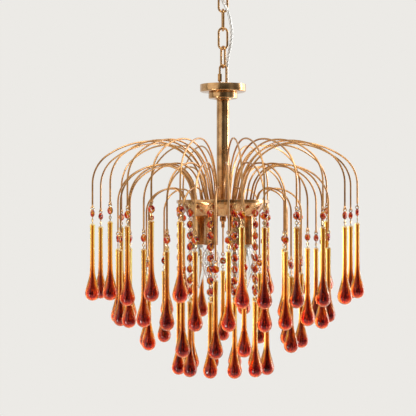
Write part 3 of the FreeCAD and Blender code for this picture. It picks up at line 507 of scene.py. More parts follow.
class Finishes:
    """Every finish of the chandelier, each made once."""

    def __init__(self) -> None:
        """Builds the materials."""
        # Brass off the lathe: soft brown clouds, and lines that run round.
        self.turned_brass = BrassFinish("lacquered_turned_brass").material()
        # Drawn tube: the same brass, with streaks up and down.
        self.drawn_brass = BrassFinish(
            "lacquered_drawn_brass_tube", grain=Grain.DRAWN, line_mm=0.9,
        ).material()
        # Bent wire: satin and without tool lines, aged in long patches.
        self.wire_brass = BrassFinish(
            "antiqued_brass_wire", bright="DAA668", brown="B4824C", roughness=0.38, grain=Grain.ROLLED,
            line_mm=3.0, line_depth_mm=0.002, patina_mm=30.0,
        ).material()
        # Chain wire: glossier and a little darker, with patches as small as a link's bend.
        self.chain_brass = BrassFinish(
            "antiqued_brass_chain", bright="D6A466", brown="A6763E", roughness=0.22, grain=Grain.ROLLED,
            line_mm=2.0, line_depth_mm=0.006, patina_mm=9.0,
        ).material()
        # Pins and rings: pale and polished, so that they sparkle between the beads.
        self.pin_brass = BrassFinish(
            "polished_brass_pin_wire", bright="F2D69C", brown="C08A4C", roughness=0.16, grain=Grain.ROLLED,
            line_mm=1.2, patina_mm=5.0,
        ).material()
        self.drop_glass = DropGlassFinish().material()
        self.crystal = CrystalFinish().material()
        # Thin blown glass: colourless, with slow waves that bend what lies behind.
        self.lamp_glass = PlainFinish(
            "clear_blown_lamp_glass", "FFFFFF", "F6F8F8", 0.02, transmission=1.0, mottle_mm=30.0,
            relief_mm=0.3,
        ).material()
        # Fired glaze: a clean white with a wet gloss.
        self.lamp_collar = PlainFinish(
            "glazed_white_lamp_collar", "F2F0EC", "D9D6D0", 0.22, mottle_mm=3.0,
        ).material()
        # Nickel plate: a warm grey mirror, whose rolled threads glint.
        self.nickel = PlainFinish("nickel_plated_lamp_cap", "D8D6D2", "B5B2AC", 0.2, metallic=1.0).material()
        # Drawn tungsten: a dull brownish grey.
        self.filament = PlainFinish("tungsten_filament", "7A6A58", "584A3C", 0.4, metallic=1.0).material()
        # Zinc plate: a cool satin grey, a little cloudy.
        self.zinc = PlainFinish("bright_zinc_plated_steel", "C3C6CA", "9FA2A8", 0.34, metallic=1.0).material()
        # Moulded nylon: a warm white with a soft sheen.
        self.nylon = PlainFinish("moulded_white_nylon", "E8E6DE", "D6D3C9", 0.5, mottle_mm=2.0).material()
        # Moulded phenolic: almost black, with the polish of its mould.
        self.phenolic = PlainFinish(
            "moulded_black_phenolic", "241F1B", "15110E", 0.28, mottle_mm=3.0,
        ).material()
        # Clear moulded plastic: a pale, glossy grey against the brass.
        self.gland = PlainFinish("clear_moulded_gland", "E2E0DA", "C9C6BF", 0.2, mottle_mm=3.0).material()
        self.cord = CordFinish().material()


class Form:
    """A mesh being worked, in millimetres, that ends as one piece of the chandelier."""

    def __init__(self) -> None:
        """Starts with nothing on the bench."""
        self.bm = bmesh.new()
        self.bm.verts.layers.float.new("along")
        self.bm.verts.layers.float.new("tint")
        self.bm.faces.layers.float.new("facet")

    def turned(self, outline: Outline, steps: int = 64, loop: bool = False,
               level: float = 0.0) -> list[BMVert]:
        """Spins an outline round the upright axis.

        Args:
            outline: each corner's radius and height.
            steps: how many flats round.
            loop: whether the last corner joins the first.
            level: added to each height.

        Returns:
            The new vertices.
        """
        old = len(self.bm.verts)
        corners = [self.bm.verts.new((out, 0, level + up)) for out, up in outline]
        pairs = list(zip(corners, corners[1:])) + ([(corners[-1], corners[0])] if loop else [])
        edges = [self.bm.edges.new(pair) for pair in pairs]
        bmesh.ops.spin(self.bm, geom=corners + edges, cent=(0, 0, 0), axis=UP, angle=FULL_TURN, steps=steps,
                       use_merge=True)
        self.bm.verts.ensure_lookup_table()
        bmesh.ops.remove_doubles(self.bm, verts=self.bm.verts[old:], dist=1e-4)
        self.bm.verts.ensure_lookup_table()
        return self.bm.verts[old:]

    def section(self, radius: float, sides: int, centre: Vector, way: Vector) -> list[BMEdge]:
        """Draws a round bar's section, square to the way it goes on.

        Args:
            radius: of the bar.
            sides: how many flats round.
            centre: of the section.
            way: the bar's direction.

        Returns:
            The section's edges.
        """
        circle = bmesh.ops.create_circle(self.bm, radius=radius, segments=sides)["verts"]
        turn = UP.rotation_difference(way).to_matrix().to_4x4()
        bmesh.ops.transform(self.bm, matrix=Matrix.Translation(centre) @ turn, verts=circle)
        return list({edge for vert in circle for edge in vert.link_edges})

    def bar(self, start: Vector, way: Vector, radius: float, moves: Iterable[tuple[float, float, int]],
            axis: Vector = Y_AXIS, sides: int = 10, closed: bool = False) -> None:
        """Bends a round bar in one plane.

        Args:
            start: where its middle line begins.
            way: its first direction.
            radius: of the bar.
            moves: each a length to go straight, or a bend's radius, with the bend's angle, which is 0 where
                the bar is straight, and the steps.
            axis: square to the plane.
            sides: how many flats round.
            closed: whether the bar's end meets its start.
        """
        old = len(self.bm.verts)
        point, way = start.copy(), way.normalized()
        first = edges = self.section(radius, sides, point, way)
        for reach, angle, steps in moves:
            if angle == 0:
                grown = bmesh.ops.extrude_edge_only(self.bm, edges=edges)["geom"]
                moved = {g for g in grown if isinstance(g, BMVert)}
                bmesh.ops.translate(self.bm, vec=way * reach, verts=list(moved))
                edges = [g for g in grown if isinstance(g, BMEdge) and moved.issuperset(g.verts)]
                point = point + way * reach
                continue
            centre = point + axis.cross(way) * math.copysign(reach, angle)
            ring = list({vert for edge in edges for vert in edge.verts})
            last = bmesh.ops.spin(self.bm, geom=ring + edges, cent=centre, axis=axis, angle=angle,
                                  steps=steps)["geom_last"]
            edges = [g for g in last if isinstance(g, BMEdge)]
            turn = Matrix.Rotation(angle, 3, axis)
            point, way = centre + turn @ (point - centre), turn @ way
        if closed:
            self.bm.verts.ensure_lookup_table()
            bmesh.ops.remove_doubles(self.bm, verts=self.bm.verts[old:], dist=1e-3)
        else:
            bmesh.ops.edgeloop_fill(self.bm, edges=first)
            bmesh.ops.edgeloop_fill(self.bm, edges=edges)

    def rod(self, start: Vector, way: Vector, radius: float, length: float, sides: int = 5) -> None:
        """Adds a straight round bar.

        Args:
            start: where its middle line begins.
            way: its direction.
            radius: of the bar.
            length: of the bar.
            sides: how many flats round.
        """
        self.bar(start, way, radius, [(length, 0, 1)], sides=sides)

    def eye(self, radius: float, wire: float, centre: Vector, facing: Vector, steps: int = 10,
            sides: int = 5) -> None:
        """Closes a wire into a ring.

        Args:
            radius: of the wire's middle line.
            wire: its diameter.
            centre: of the ring.
            facing: square to the ring.
            steps: flats round the ring.
            sides: flats round the wire.
        """
        arm = facing.orthogonal().normalized()
        edges = self.section(wire / 2, sides, centre + arm * radius, facing.cross(arm))
        ring = list({vert for edge in edges for vert in edge.verts})
        bmesh.ops.spin(self.bm, geom=ring + edges, cent=centre, axis=facing, angle=FULL_TURN, steps=steps,
                       use_merge=True)

    def gem(self, flats: float, table: float, depth: float, edge: float, chance: random.Random) -> None:
        """Cuts an octagon bead that faces along X, with a table, a crown and half the girdle on each side.

        Args:
            flats: across the girdle.
            table: across the table.
            depth: table to table.
            edge: the girdle's thickness.
            chance: gives each facet its own painted reflection.
        """
        corners = []
        # The crown's corners stand a little outside the straight line from table to girdle.
        crown, crown_x = flats * 0.42 + table * 0.58 + 0.7, depth * 0.32 + edge * 0.18
        for size, x, turn in ((table, depth / 2, 0.5), (crown, crown_x, 0.0), (flats, edge / 2, 0.5)):
            spun = Matrix.Rotation(math.pi / 2, 4, "Y") @ Matrix.Rotation(turn * math.pi / 4, 4, "Z")
            for side in (-1, 1):
                circle = bmesh.ops.create_circle(self.bm, radius=across_flats(size, 8), segments=8)["verts"]
                place = Matrix.Translation(X_AXIS * x * side) @ spun
                bmesh.ops.transform(self.bm, matrix=place, verts=circle)
                corners += circle
        rims = list({edge for vert in corners for edge in vert.link_edges})
        bmesh.ops.delete(self.bm, geom=rims, context="EDGES_FACES")
        bmesh.ops.convex_hull(self.bm, input=corners)
        facet = self.bm.faces.layers.float["facet"]
        for face in self.bm.faces:
            face[facet] = chance.random()

    def hexagon(self, flats: float, foot: float, height: float, x: float) -> None:
        """Stands a hexagon nut's body upright.

        Args:
            flats: across its flats.
            foot: its foot's level.
            height: of the nut.
            x: its axis.
        """
        radius = across_flats(flats, 6)
        cone = bmesh.ops.create_cone(self.bm, cap_ends=True, segments=6, radius1=radius, radius2=radius,
                                     depth=height)["verts"]
        bmesh.ops.translate(self.bm, vec=(x, 0, foot + height / 2), verts=cone)

    def eased(self, offset: float, sharper: float) -> None:
        """Breaks every edge sharper than an angle, as a polished part's are.

        Args:
            offset: the width taken off each face.
            sharper: the least angle between two faces in degrees.
        """
        least = math.radians(sharper)
        sharp = [e for e in self.bm.edges if len(e.link_faces) == 2 and e.calc_face_angle(0.0) > least]
        bmesh.ops.bevel(self.bm, geom=sharp, offset=offset, offset_type="OFFSET", segments=2, profile=0.5,
                        affect="EDGES", clamp_overlap=True, material=-1)

    def moved(self, place: Matrix) -> None:
        """Moves the whole form to its place."""
        bmesh.ops.transform(self.bm, matrix=place, verts=self.bm.verts)

    def stamp(self, other: Mesh, place: Matrix, length: float = 1.0, tint: float = 0.5) -> None:
        """Adds a copy of a finished mesh.

        Args:
            other: the mesh.
            place: where the copy goes.
            length: how far down its own Z counts as its whole length.
            tint: its own shade of the finish, from 0 to 1.
        """
        old = len(self.bm.verts)
        self.bm.from_mesh(other)
        self.bm.verts.ensure_lookup_table()
        fresh = self.bm.verts[old:]
        down_layer, tint_layer = (self.bm.verts.layers.float[key] for key in ("along", "tint"))
        for vert in fresh:
            vert[down_layer] = min(1.0, max(0.0, -vert.co.z / length))
            vert[tint_layer] = tint
        bmesh.ops.transform(self.bm, matrix=place, verts=fresh)

    def stamp_form(self, part: "Form", place: Matrix) -> None:
        """Adds a small form, which is used up.

        Args:
            part: the small form.
            place: where it goes.
        """
        made = part.mesh("small_part")
        self.stamp(made, place)
        bpy.data.meshes.remove(made)

    def mesh(self, name: str, smooth: bool = True, crease: float = 40.0) -> Mesh:
        """Ends the work and frees the bench.

        Args:
            name: of the mesh.
            smooth: whether its faces shade as one surface.
            crease: the angle in degrees past which an edge stays sharp.

        Returns:
            The mesh, still in millimetres.
        """
        bmesh.ops.recalc_face_normals(self.bm, faces=self.bm.faces)
        for face in self.bm.faces:
            face.smooth = smooth
        made = bpy.data.meshes.new(name)
        self.bm.to_mesh(made)
        self.bm.free()
        if smooth:
            made.set_sharp_from_angle(angle=math.radians(crease))
        return made

    def piece(self, name: str, material: Material, slot: Slot, *stands_for: str, body: str = "chandelier",
              smooth: bool = True, crease: float = 40.0) -> None:
        """Ends the work as a piece that rides on a body.

        Args:
            name: of the piece.
            material: its finish.
            slot: the record's material slot; not used.
            stands_for: the CAD nodes that it replaces.
            body: what it moves with.
            smooth: whether its faces shade as one surface.
            crease: the angle in degrees past which an edge stays sharp.
        """
        made = self.mesh(name, smooth, crease)
        made.transform(Matrix.Scale(MM, 4))
        made.materials.append(material)
        obj = linked(name, made)
        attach(obj, body)
        if stands_for:
            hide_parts(*stands_for)
        LOG.info("%s: %d faces, on %s", name, len(made.polygons), body)


def across_flats(flats: float, sides: int) -> float:
    """The radius to the corners of a regular prism, from its width across the flats."""
    return flats / 2 / math.cos(math.pi / sides)


def faired(points: Outline, parts: int = 3) -> list[tuple[float, float]]:
    """Runs a smooth line through an outline's points.

    Args:
        points: the outline.
        parts: how many steps from each point to the next.

    Returns:
        The finer outline.
    """
    line = [Vector(p) for p in points]
    line = [2 * line[0] - line[1]] + line + [2 * line[-1] - line[-2]]
    fine = []
    for a, b, c, d in zip(line, line[1:], line[2:], line[3:]):
        for k in range(parts):
            t = k / parts
            fine.append(0.5 * (2 * b + (c - a) * t + (2 * a - 5 * b + 4 * c - d) * t ** 2
                               + (3 * b - a - 3 * c + d) * t ** 3))
    return [(max(0.0, p.x), p.y) for p in fine + [line[-2]]]


def around(azimuth: float, radius: float, level: float) -> Matrix:
    """The place of something drawn outwards along X, turned to its azimuth round the lamp's axis.

    Args:
        azimuth: in degrees, 0 towards the viewer and rising to the viewer's right.
        radius: from the axis.
        level: its height.

    Returns:
        The placing matrix.
    """
    return Matrix.Rotation(math.radians(azimuth - 90), 4, "Z") @ Matrix.Translation((radius, 0, level))


def spaced(first: float, count: int) -> list[float]:
    """Azimuths in degrees that share the circle out evenly."""
    return [first + 360 / count * number for number in range(count)]


def turned_piece(name: str, node: str, material: Material, outline: Outline, level: float, steps: int,
                 ease: float = 0.0, sharper: float = 40.0, loop: bool = True,
                 body: str = "chandelier") -> None:
    """Turns one brass piece.

    Args:
        name: of the piece.
        node: the CAD node that it replaces.
        material: its finish.
        outline: each corner's radius and height.
        level: added to each height.
        steps: how many flats round.
        ease: the width taken off its sharp edges.
        sharper: the least angle of such an edge in degrees.
        loop: whether the last corner joins the first.
        body: what it moves with.
    """
    form = Form()
    form.turned(outline, steps, loop, level)
    if ease:
        form.eased(ease, sharper)
    form.piece(name, material, Slot.TURNED, node, body=body)


def dress(node: str, material: Material) -> None:
    """Gives a CAD node that stays its material.

    Args:
        node: its name.
        material: its finish.
    """
    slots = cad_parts[node].data.materials
    slots.clear()
    slots.append(material)
    LOG.info("%s: %s", node, material.name)


@dataclass
class CeilingFitting:
    """The bell canopy, the ring below it and the small parts inside."""

    finishes: Finishes
    canopy_radius: float = 55.0
    canopy_height: float = 46.0
    canopy_flat: float = 30.0
    canopy_shoulder: float = 20.0
    canopy_hole: float = 18.0
    wall: float = 1.5
    ring_bore: float = 11.0
    ring_collar: float = 7.0
    ring_collar_height: float = 4.0
    chamfer: float = 0.6
    shank: float = 4.95
    shank_top: float = -1.2

    def build(self) -> None:
        """Makes the canopy and the ring, and dresses the rest."""
        self._canopy()
        self._ring()
        dress("ceiling_bracket", self.finishes.zinc)
        dress("ring_lock_nut", self.finishes.zinc)
        dress("canopy_screws", self.finishes.turned_brass)
        dress("terminal_block", self.finishes.nylon)

    def _canopy(self) -> None:
        """Spins the canopy, whose flat top rounds over into an upright wall."""
        flat, wall, hole, low = self.canopy_flat, self.wall, self.canopy_hole, self.canopy_height
        outside, inside = self.canopy_radius, self.canopy_radius - self.wall
        outer = [(hole, 0.0), (flat, 0.0), (flat + 9, 2.0), (flat + 16, 6.0), (flat + 22, 12.0),
                 (outside, self.canopy_shoulder), (outside, low)]
        inner = [(inside, low), (inside, self.canopy_shoulder + 0.6), (flat + 21, 13.2), (flat + 15.2, 7.5),
                 (flat + 8.4, 3.5), (flat - 0.4, wall), (hole, wall)]
        turned_piece("bell_canopy", "canopy", self.finishes.turned_brass, outer + inner, -low, steps=96,
                     ease=0.35, body="canopy")

    def _ring(self) -> None:
        """Bends the ring and turns its collar and shank."""
        circle = self.ring_bore + RING_BAR / 2
        middle = RING_LEVEL + circle
        foot = middle + circle - 1
        head = foot + self.ring_collar_height
        neck, cut, shank, end = self.ring_collar, self.chamfer, self.shank, self.shank_top
        form = Form()
        form.eye(circle, RING_BAR, UP * middle, X_AXIS, steps=48, sides=14)
        form.turned([
            (0.0, foot), (neck - cut, foot), (neck, foot + cut), (neck, head - cut), (neck - cut, head),
            (shank, head), (shank, end - 0.4), (shank - 0.65, end), (0.0, end),
        ], steps=32)
        form.piece("hanging_ring", self.finishes.turned_brass, Slot.TURNED, "ceiling_ring", body="ceiling")


@dataclass
class Chain:
    """Four oval links and the screw link with its sleeve."""

    finishes: Finishes
    wire: float = 4.4
    inner: float = 37.4
    width: float = 21.7
    turns: Sequence[float] = (0.0, 6.0, 0.0, 25.0)
    screw_length: float = 44.9
    screw_width: float = 17.0
    sleeve_flats: float = 8.0
    sleeve_height: float = 15.0
    sleeve_foot: float = 12.0

    def build(self) -> None:
        """Makes each link where the one above holds it."""
        brass = self.finishes.chain_brass
        bearing, bar = RING_LEVEL, RING_BAR / 2
        for number, turn in enumerate(self.turns, start=1):
            centre = bearing + bar + PLAY - self.inner / 2
            node = f"chain_link_{number}"
            length = self.inner + 2 * self.wire
            link = self._oval(centre, length, self.width, self.wire, flat=number % 2 == 1)
            link.moved(Matrix.Rotation(math.radians(turn), 4, "Z"))
            link.piece(f"oval_link_{number}", brass, Slot.CHAIN, node, body=node)
            bearing, bar = centre - self.inner / 2 - self.wire / 2, self.wire / 2
        centre = bearing + bar + PLAY - (self.screw_length - 2 * SCREW_LINK_WIRE) / 2
        screw_link = self._oval(centre, self.screw_length, self.screw_width, SCREW_LINK_WIRE, flat=True)
        screw_link.piece("quick_link", brass, Slot.CHAIN, "screw_link", body="screw_link")
        sleeve = Form()
        leg = -(self.screw_width - SCREW_LINK_WIRE) / 2
        sleeve.hexagon(self.sleeve_flats, centre - self.sleeve_foot, self.sleeve_height, leg)
        sleeve.eased(0.5, sharper=40)
        node = "screw_link_sleeve"
        sleeve.piece("sleeve_nut", brass, Slot.CHAIN, node, body=node, crease=25)

    def _oval(self, centre: float, length: float, width: float, wire: float, flat: bool) -> Form:
        """Bends one closed link.

        Args:
            centre: its height.
            length: outside.
            width: outside.
            wire: its diameter.
            flat: whether it faces the viewer.

        Returns:
            The link, not yet a piece.
        """
        bend, straight = (width - wire) / 2, length - width
        side, axis = (X_AXIS, Y_AXIS) if flat else (Y_AXIS, -X_AXIS)
        start = side * bend + UP * (centre - straight / 2)
        form = Form()
        form.bar(start, UP, wire / 2, [(straight, 0, 1), (bend, -math.pi, 20)] * 2, axis=axis, sides=14,
                 closed=True)
        return form


@dataclass
class Collar:
    """The stepped collar that the stem hangs from."""

    finishes: Finishes
    cup_radius: float = 46.0
    cup_height: float = 15.0
    wall: float = 1.5
    base_radius: float = 29.0
    base_height: float = 15.4
    socket_depth: float = 3.0
    socket_play: float = 0.05
    lip: float = 4.0
    lip_height: float = 2.0
    loop_inside: float = 6.0
    loop_bar: float = 5.0
    loop_bearing: float = -261.8
    flange: float = 11.2
    flange_height: float = 3.0
    shank: float = 4.95
    shank_below: float = 16.0

    def build(self) -> None:
        """Makes the cup, the disc and the loop."""
        self._cup()
        self._base()
        self._loop()
        dress("cord_gland", self.finishes.gland)

    def _cup(self) -> None:
        """Turns the upper cup, whose wall rounds into its floor."""
        outside, inside, wall, high = self.cup_radius, self.cup_radius - self.wall, self.wall, self.cup_height
        outline = [
            (ROD_BORE, 0.0), (outside - 2.4, 0.0), (outside - 0.9, 0.6), (outside - 0.2, 1.5), (outside, 2.6),
            (outside, high), (inside, high), (inside, 3.0), (inside - 1.2, 1.8), (inside - 2.4, wall),
            (ROD_BORE, wall),
        ]
        turned_piece("upper_cup", "collar_cup", self.finishes.turned_brass, outline, COLLAR_FLOOR,
                     steps=96, ease=0.4, sharper=50)

    def _base(self) -> None:
        """Turns the lower disc, with the stem's socket and a lip round it."""
        outside, high = self.base_radius, self.base_height
        socket, lip = STEM_RADIUS + self.socket_play, STEM_RADIUS + self.lip
        outline = [
            (ROD_BORE, self.socket_depth), (socket, self.socket_depth), (socket, 0.0), (lip, 0.0),
            (lip, self.lip_height), (outside - 2.0, self.lip_height), (outside - 0.6, 2.5), (outside, 3.8),
            (outside, high - 1), (outside - 1, high), (ROD_BORE, high),
        ]
        turned_piece("lower_disc", "collar_base", self.finishes.turned_brass, outline,
                     COLLAR_FLOOR - high, steps=80, ease=0.35)

    def _loop(self) -> None:
        """Bends the loop and sets it on its flange and shank."""
        reach = self.loop_inside + self.loop_bar / 2
        top = self.loop_bearing + SCREW_LINK_WIRE / 2 + PLAY - self.loop_inside
        foot = COLLAR_FLOOR + self.wall
        head, sunk = foot + self.flange_height, 2.0
        leg = (top - foot - sunk, 0, 1)
        end = COLLAR_FLOOR - self.base_height - self.shank_below
        form = Form()
        form.bar(Vector((0, reach, foot + sunk)), UP, self.loop_bar / 2, [leg, (reach, math.pi, 24), leg],
                 axis=X_AXIS, sides=14)
        form.turned([(0.0, foot), (self.flange, foot), (self.flange, head - 0.6), (self.flange - 0.6, head),
                     (0.0, head)], steps=40)
        form.turned([(0.0, end), (self.shank, end), (self.shank, foot + 1), (0.0, foot + 1)], steps=24)
        form.piece("collar_hook_loop", self.finishes.turned_brass, Slot.TURNED, "collar_loop")


@dataclass
class Drum:
    """The stem, the plate that carries the wires, the dished drum and its finial."""

    finishes: Finishes
    plate_radius: float = 93.0
    plate_height: float = 7.0
    sheet: float = 2.5
    rim: float = 5.0
    pan_top: float = 84.0
    pan_middle: float = 77.0
    pan_low: float = 64.0
    pan_height: float = 25.6
    pan_wall: float = 1.2
    stem_bore: float = 11.0
    stem_length: float = 203.6
    finial_height: float = 24.0
    finial_radius: float = 6.6
    finial_tip: float = 3.5

    def build(self) -> None:
        """Makes each turned part of the drum."""
        self._stem()
        self._plate()
        self._pan()
        self._finial()
        dress("stem_bushes", self.finishes.zinc)
        dress("centre_rod", self.finishes.zinc)

    def _stem(self) -> None:
        """Cuts the stem from drawn tube."""
        outline = [(self.stem_bore, 0.0), (STEM_RADIUS, 0.0), (STEM_RADIUS, self.stem_length),
                   (self.stem_bore, self.stem_length)]
        turned_piece("stem", "stem_tube", self.finishes.drawn_brass, outline, PLATE_TOP, steps=64,
                     ease=0.3, sharper=50)

    def _plate(self) -> None:
        """Turns the plate with its deep rim."""
        outside, high, under = self.plate_radius, self.plate_height, self.plate_height - self.sheet
        outline = [
            (ROD_BORE, under), (outside - self.rim, under), (outside - self.rim, 0.0), (outside - 1.2, 0.0),
            (outside - 0.3, 0.4), (outside, 1.3), (outside, high - 1.3), (outside - 0.3, high - 0.4),
            (outside - 1.2, high), (ROD_BORE, high),
        ]
        turned_piece("wire_plate", "drum_plate", self.finishes.turned_brass, outline,
                     PLATE_TOP - high, steps=112, ease=0.3, sharper=60)

    def _pan(self) -> None:
        """Spins the dished pan, whose upright edge stands inside the plate's rim."""
        low, wall, edge = self.pan_low, self.pan_wall, self.pan_top
        top = self.pan_height + self.plate_height - self.sheet
        outer = faired([(low, 0.0), (low + 6, 2.2), (self.pan_middle - 2.6, 8.0),
                        (self.pan_middle + 2.6, 16.0), (edge, self.pan_height)])
        inner = [(out - 0.9 * wall, up + 0.6 * wall) for out, up in reversed(outer)]
        outline = [(0.0, 0.0), (low - 2, 0.0), *outer, (edge, top), (edge - wall, top), *inner[:-1],
                   (low - 1, wall), (0.0, wall)]
        turned_piece("dished_drum", "drum_pan", self.finishes.turned_brass, outline, PAN_FLOOR,
                     steps=112, loop=False)

    def _finial(self) -> None:
        """Turns the finial nut: a knob with a long tip."""
        high, knob, tip = self.finial_height, self.finial_radius, self.finial_tip
        outline = [
            (0.0, 0.0), (tip - 2.1, 0.2), (tip - 1, 0.9), (tip - 0.3, 2.0), (tip, 3.4), (tip, 12.6),
            (tip + 0.3, 13.2), (knob - 1, 13.9), (knob, 14.9), (knob, high - 1.2), (knob - 0.3, high - 0.4),
            (knob - 0.8, high), (0.0, high),
        ]
        turned_piece("finial_nut", "finial", self.finishes.turned_brass, outline, PAN_FLOOR - high,
                     steps=40, loop=False)


@dataclass
class PendantParts:
    """The pieces of a pendant, drawn below the centre of the eye that it hangs on."""

    eye_ring: float = 3.2
    eye_wire: float = 2.2
    pin_wire: float = 2.0
    shank_in: float = 2.0
    ring_clearance: float = 1.2
    bead_drop: float = 14.0
    bead_flats: float = 14.0
    bead_table: float = 8.0
    bead_depth: float = 7.0
    bead_edge: float = 2.0
    drop_gap: float = 19.5
    drop_length: float = 150.0
    drop_radius: float = 14.0
    ribs: int = 7
    rib_depth: float = 0.022
    ribs_from: float = 0.6
    ribs_full: float = 0.8
    drop: Mesh = field(init=False)
    bead: Mesh = field(init=False)

    def __post_init__(self) -> None:
        """Makes the drop and the bead that are copied."""
        self.drop = self._drop()
        gem = Form()
        gem.gem(self.bead_flats, self.bead_table, self.bead_depth, self.bead_edge, random.Random(3))
        self.bead = gem.mesh("bead_pattern", smooth=False)

    def _drop(self) -> Mesh:
        """Spins the glass drop, its top at the origin, and presses soft ribs into its bulb.

        Returns:
            The drop, in millimetres.
        """
        # How far down the drop, and how wide there, as shares of its length and its widest radius.
        shape = [(0, 0.16), (0.01, 0.3), (0.03, 0.38), (0.07, 0.34), (0.3, 0.32), (0.55, 0.34), (0.66, 0.41),
                 (0.74, 0.6), (0.8, 0.78), (0.86, 0.94), (0.905, 1.0), (0.955, 0.84), (0.988, 0.46), (1, 0)]
        points = [(out * self.drop_radius, -down * self.drop_length) for down, out in shape]
        form = Form()
        for vert in form.turned([(0.0, 0.0), *faired(points)], steps=28):
            down = -vert.co.z / self.drop_length
            bulb = min(1.0, max(0.0, (down - self.ribs_from) / (self.ribs_full - self.ribs_from)))
            swell = 1 + self.rib_depth * bulb * math.cos(self.ribs * math.atan2(vert.co.y, vert.co.x))
            vert.co.x *= swell
            vert.co.y *= swell
        return form.mesh("drop_pattern", crease=80)

    def pin(self, form: Form, bead_level: float, place: Matrix) -> None:
        """Bends the loop that hangs in an eye, with its shank into the bead.

        Args:
            form: what it is added to.
            bead_level: the bead's height.
            place: where the pendant hangs.
        """
        eye_level = bead_level + self.bead_drop
        middle = eye_level - 2 * self.eye_ring + (self.eye_wire + self.pin_wire) / 2 + PLAY
        foot = bead_level + self.bead_flats / 2 - self.shank_in
        part = Form()
        part.eye(self.eye_ring, self.pin_wire, UP * middle, Y_AXIS)
        part.rod(UP * foot, UP, self.pin_wire / 2, middle - self.eye_ring - foot)
        form.stamp_form(part, place)

    def link(self, form: Form, high: float, low: float, place: Matrix) -> None:
        """Bends the ring between a bead and what hangs below it, with a shank into each.

        Args:
            form: what it is added to.
            high: the bead's lower edge.
            low: the top of the next piece.
            place: where the pendant hangs.
        """
        middle = (high + low) / 2
        radius = min(self.eye_ring, (high - low) / 2 - self.ring_clearance)
        part = Form()
        part.eye(radius, self.pin_wire, UP * middle, X_AXIS)
        for start, end in ((middle + radius, high + self.shank_in), (low - self.shank_in, middle - radius)):
            part.rod(UP * start, UP, self.pin_wire / 2, end - start)
        form.stamp_form(part, place)


@dataclass
class Tier:
    """One ring of bent wires, which start in the plate and end in the eyes of its pendants."""

    name: str
    finishes: Finishes
    parts: PendantParts
    pendants: Sequence[tuple[float, float]]
    foot: float
    foot_angle: float
    peak: float
    lift: float
    end: float
    eye_level: float
    fall: float
    bend_angle: float = 35.0
    wire: float = 3.6
    sunk: float = 0.6

    def wires(self) -> None:
        """Bends every wire of the tier into one piece."""
        form = Form()
        for azimuth, rise in self.pendants:
            one = Form()
            level = self.eye_level + rise
            self._arch(one, level)
            eye = Vector((self.end, 0, level))
            one.eye(self.parts.eye_ring, self.parts.eye_wire, eye, X_AXIS, steps=14, sides=6)
            form.stamp_form(one, around(azimuth, 0, 0))
        form.piece(f"{self.name}_bent_wires", self.finishes.wire_brass, Slot.WIRE, f"{self.name}_wires")

    def _arch(self, form: Form, level: float) -> None:
        """Bends one wire: a straight foot, a rising arc, a wide arc, a tighter one, and plumb down.

        Args:
            form: what it is added to.
            level: the height of the eye's centre.
        """
        lean, bend = math.radians(self.foot_angle), math.radians(self.bend_angle)
        across, up, sine, cosine = self.peak - self.foot, self.lift, math.sin(lean), math.cos(lean)
        rising = (across * sine - up * cosine) / (sine ** 2 - (1 - cosine) * cosine)
        straight = (across - rising * sine) / cosine
        way = Vector((cosine, 0, sine))
        out, sine, cosine = self.end - self.peak, math.sin(bend), math.cos(bend)
        tight = (self.fall - (1 - cosine) * out / sine) / (cosine - (1 - cosine) * (1 - sine) / sine)
        wide = (out - tight * (1 - sine)) / sine
        plumb = PLATE_TOP + up - self.fall
        form.bar(Vector((self.foot, 0, PLATE_TOP)) - way * self.sunk, way, self.wire / 2, [
            (straight + self.sunk, 0, 1), (rising, lean, 14), (wide, bend, 8),
            (tight, math.pi / 2 - bend, 10), (plumb - level - self.parts.eye_ring, 0, 1),
        ], sides=8)

    def places(self) -> list[Matrix]:
        """Where each pendant's eye is."""
        return [around(azimuth, self.end, self.eye_level + rise) for azimuth, rise in self.pendants]


@dataclass
class Hung:
    """The metal, the beads and the drops of some pendants, before they are pieces."""

    metal: Form = field(default_factory=Form)
    beads: Form = field(default_factory=Form)
    drops: Form = field(default_factory=Form)


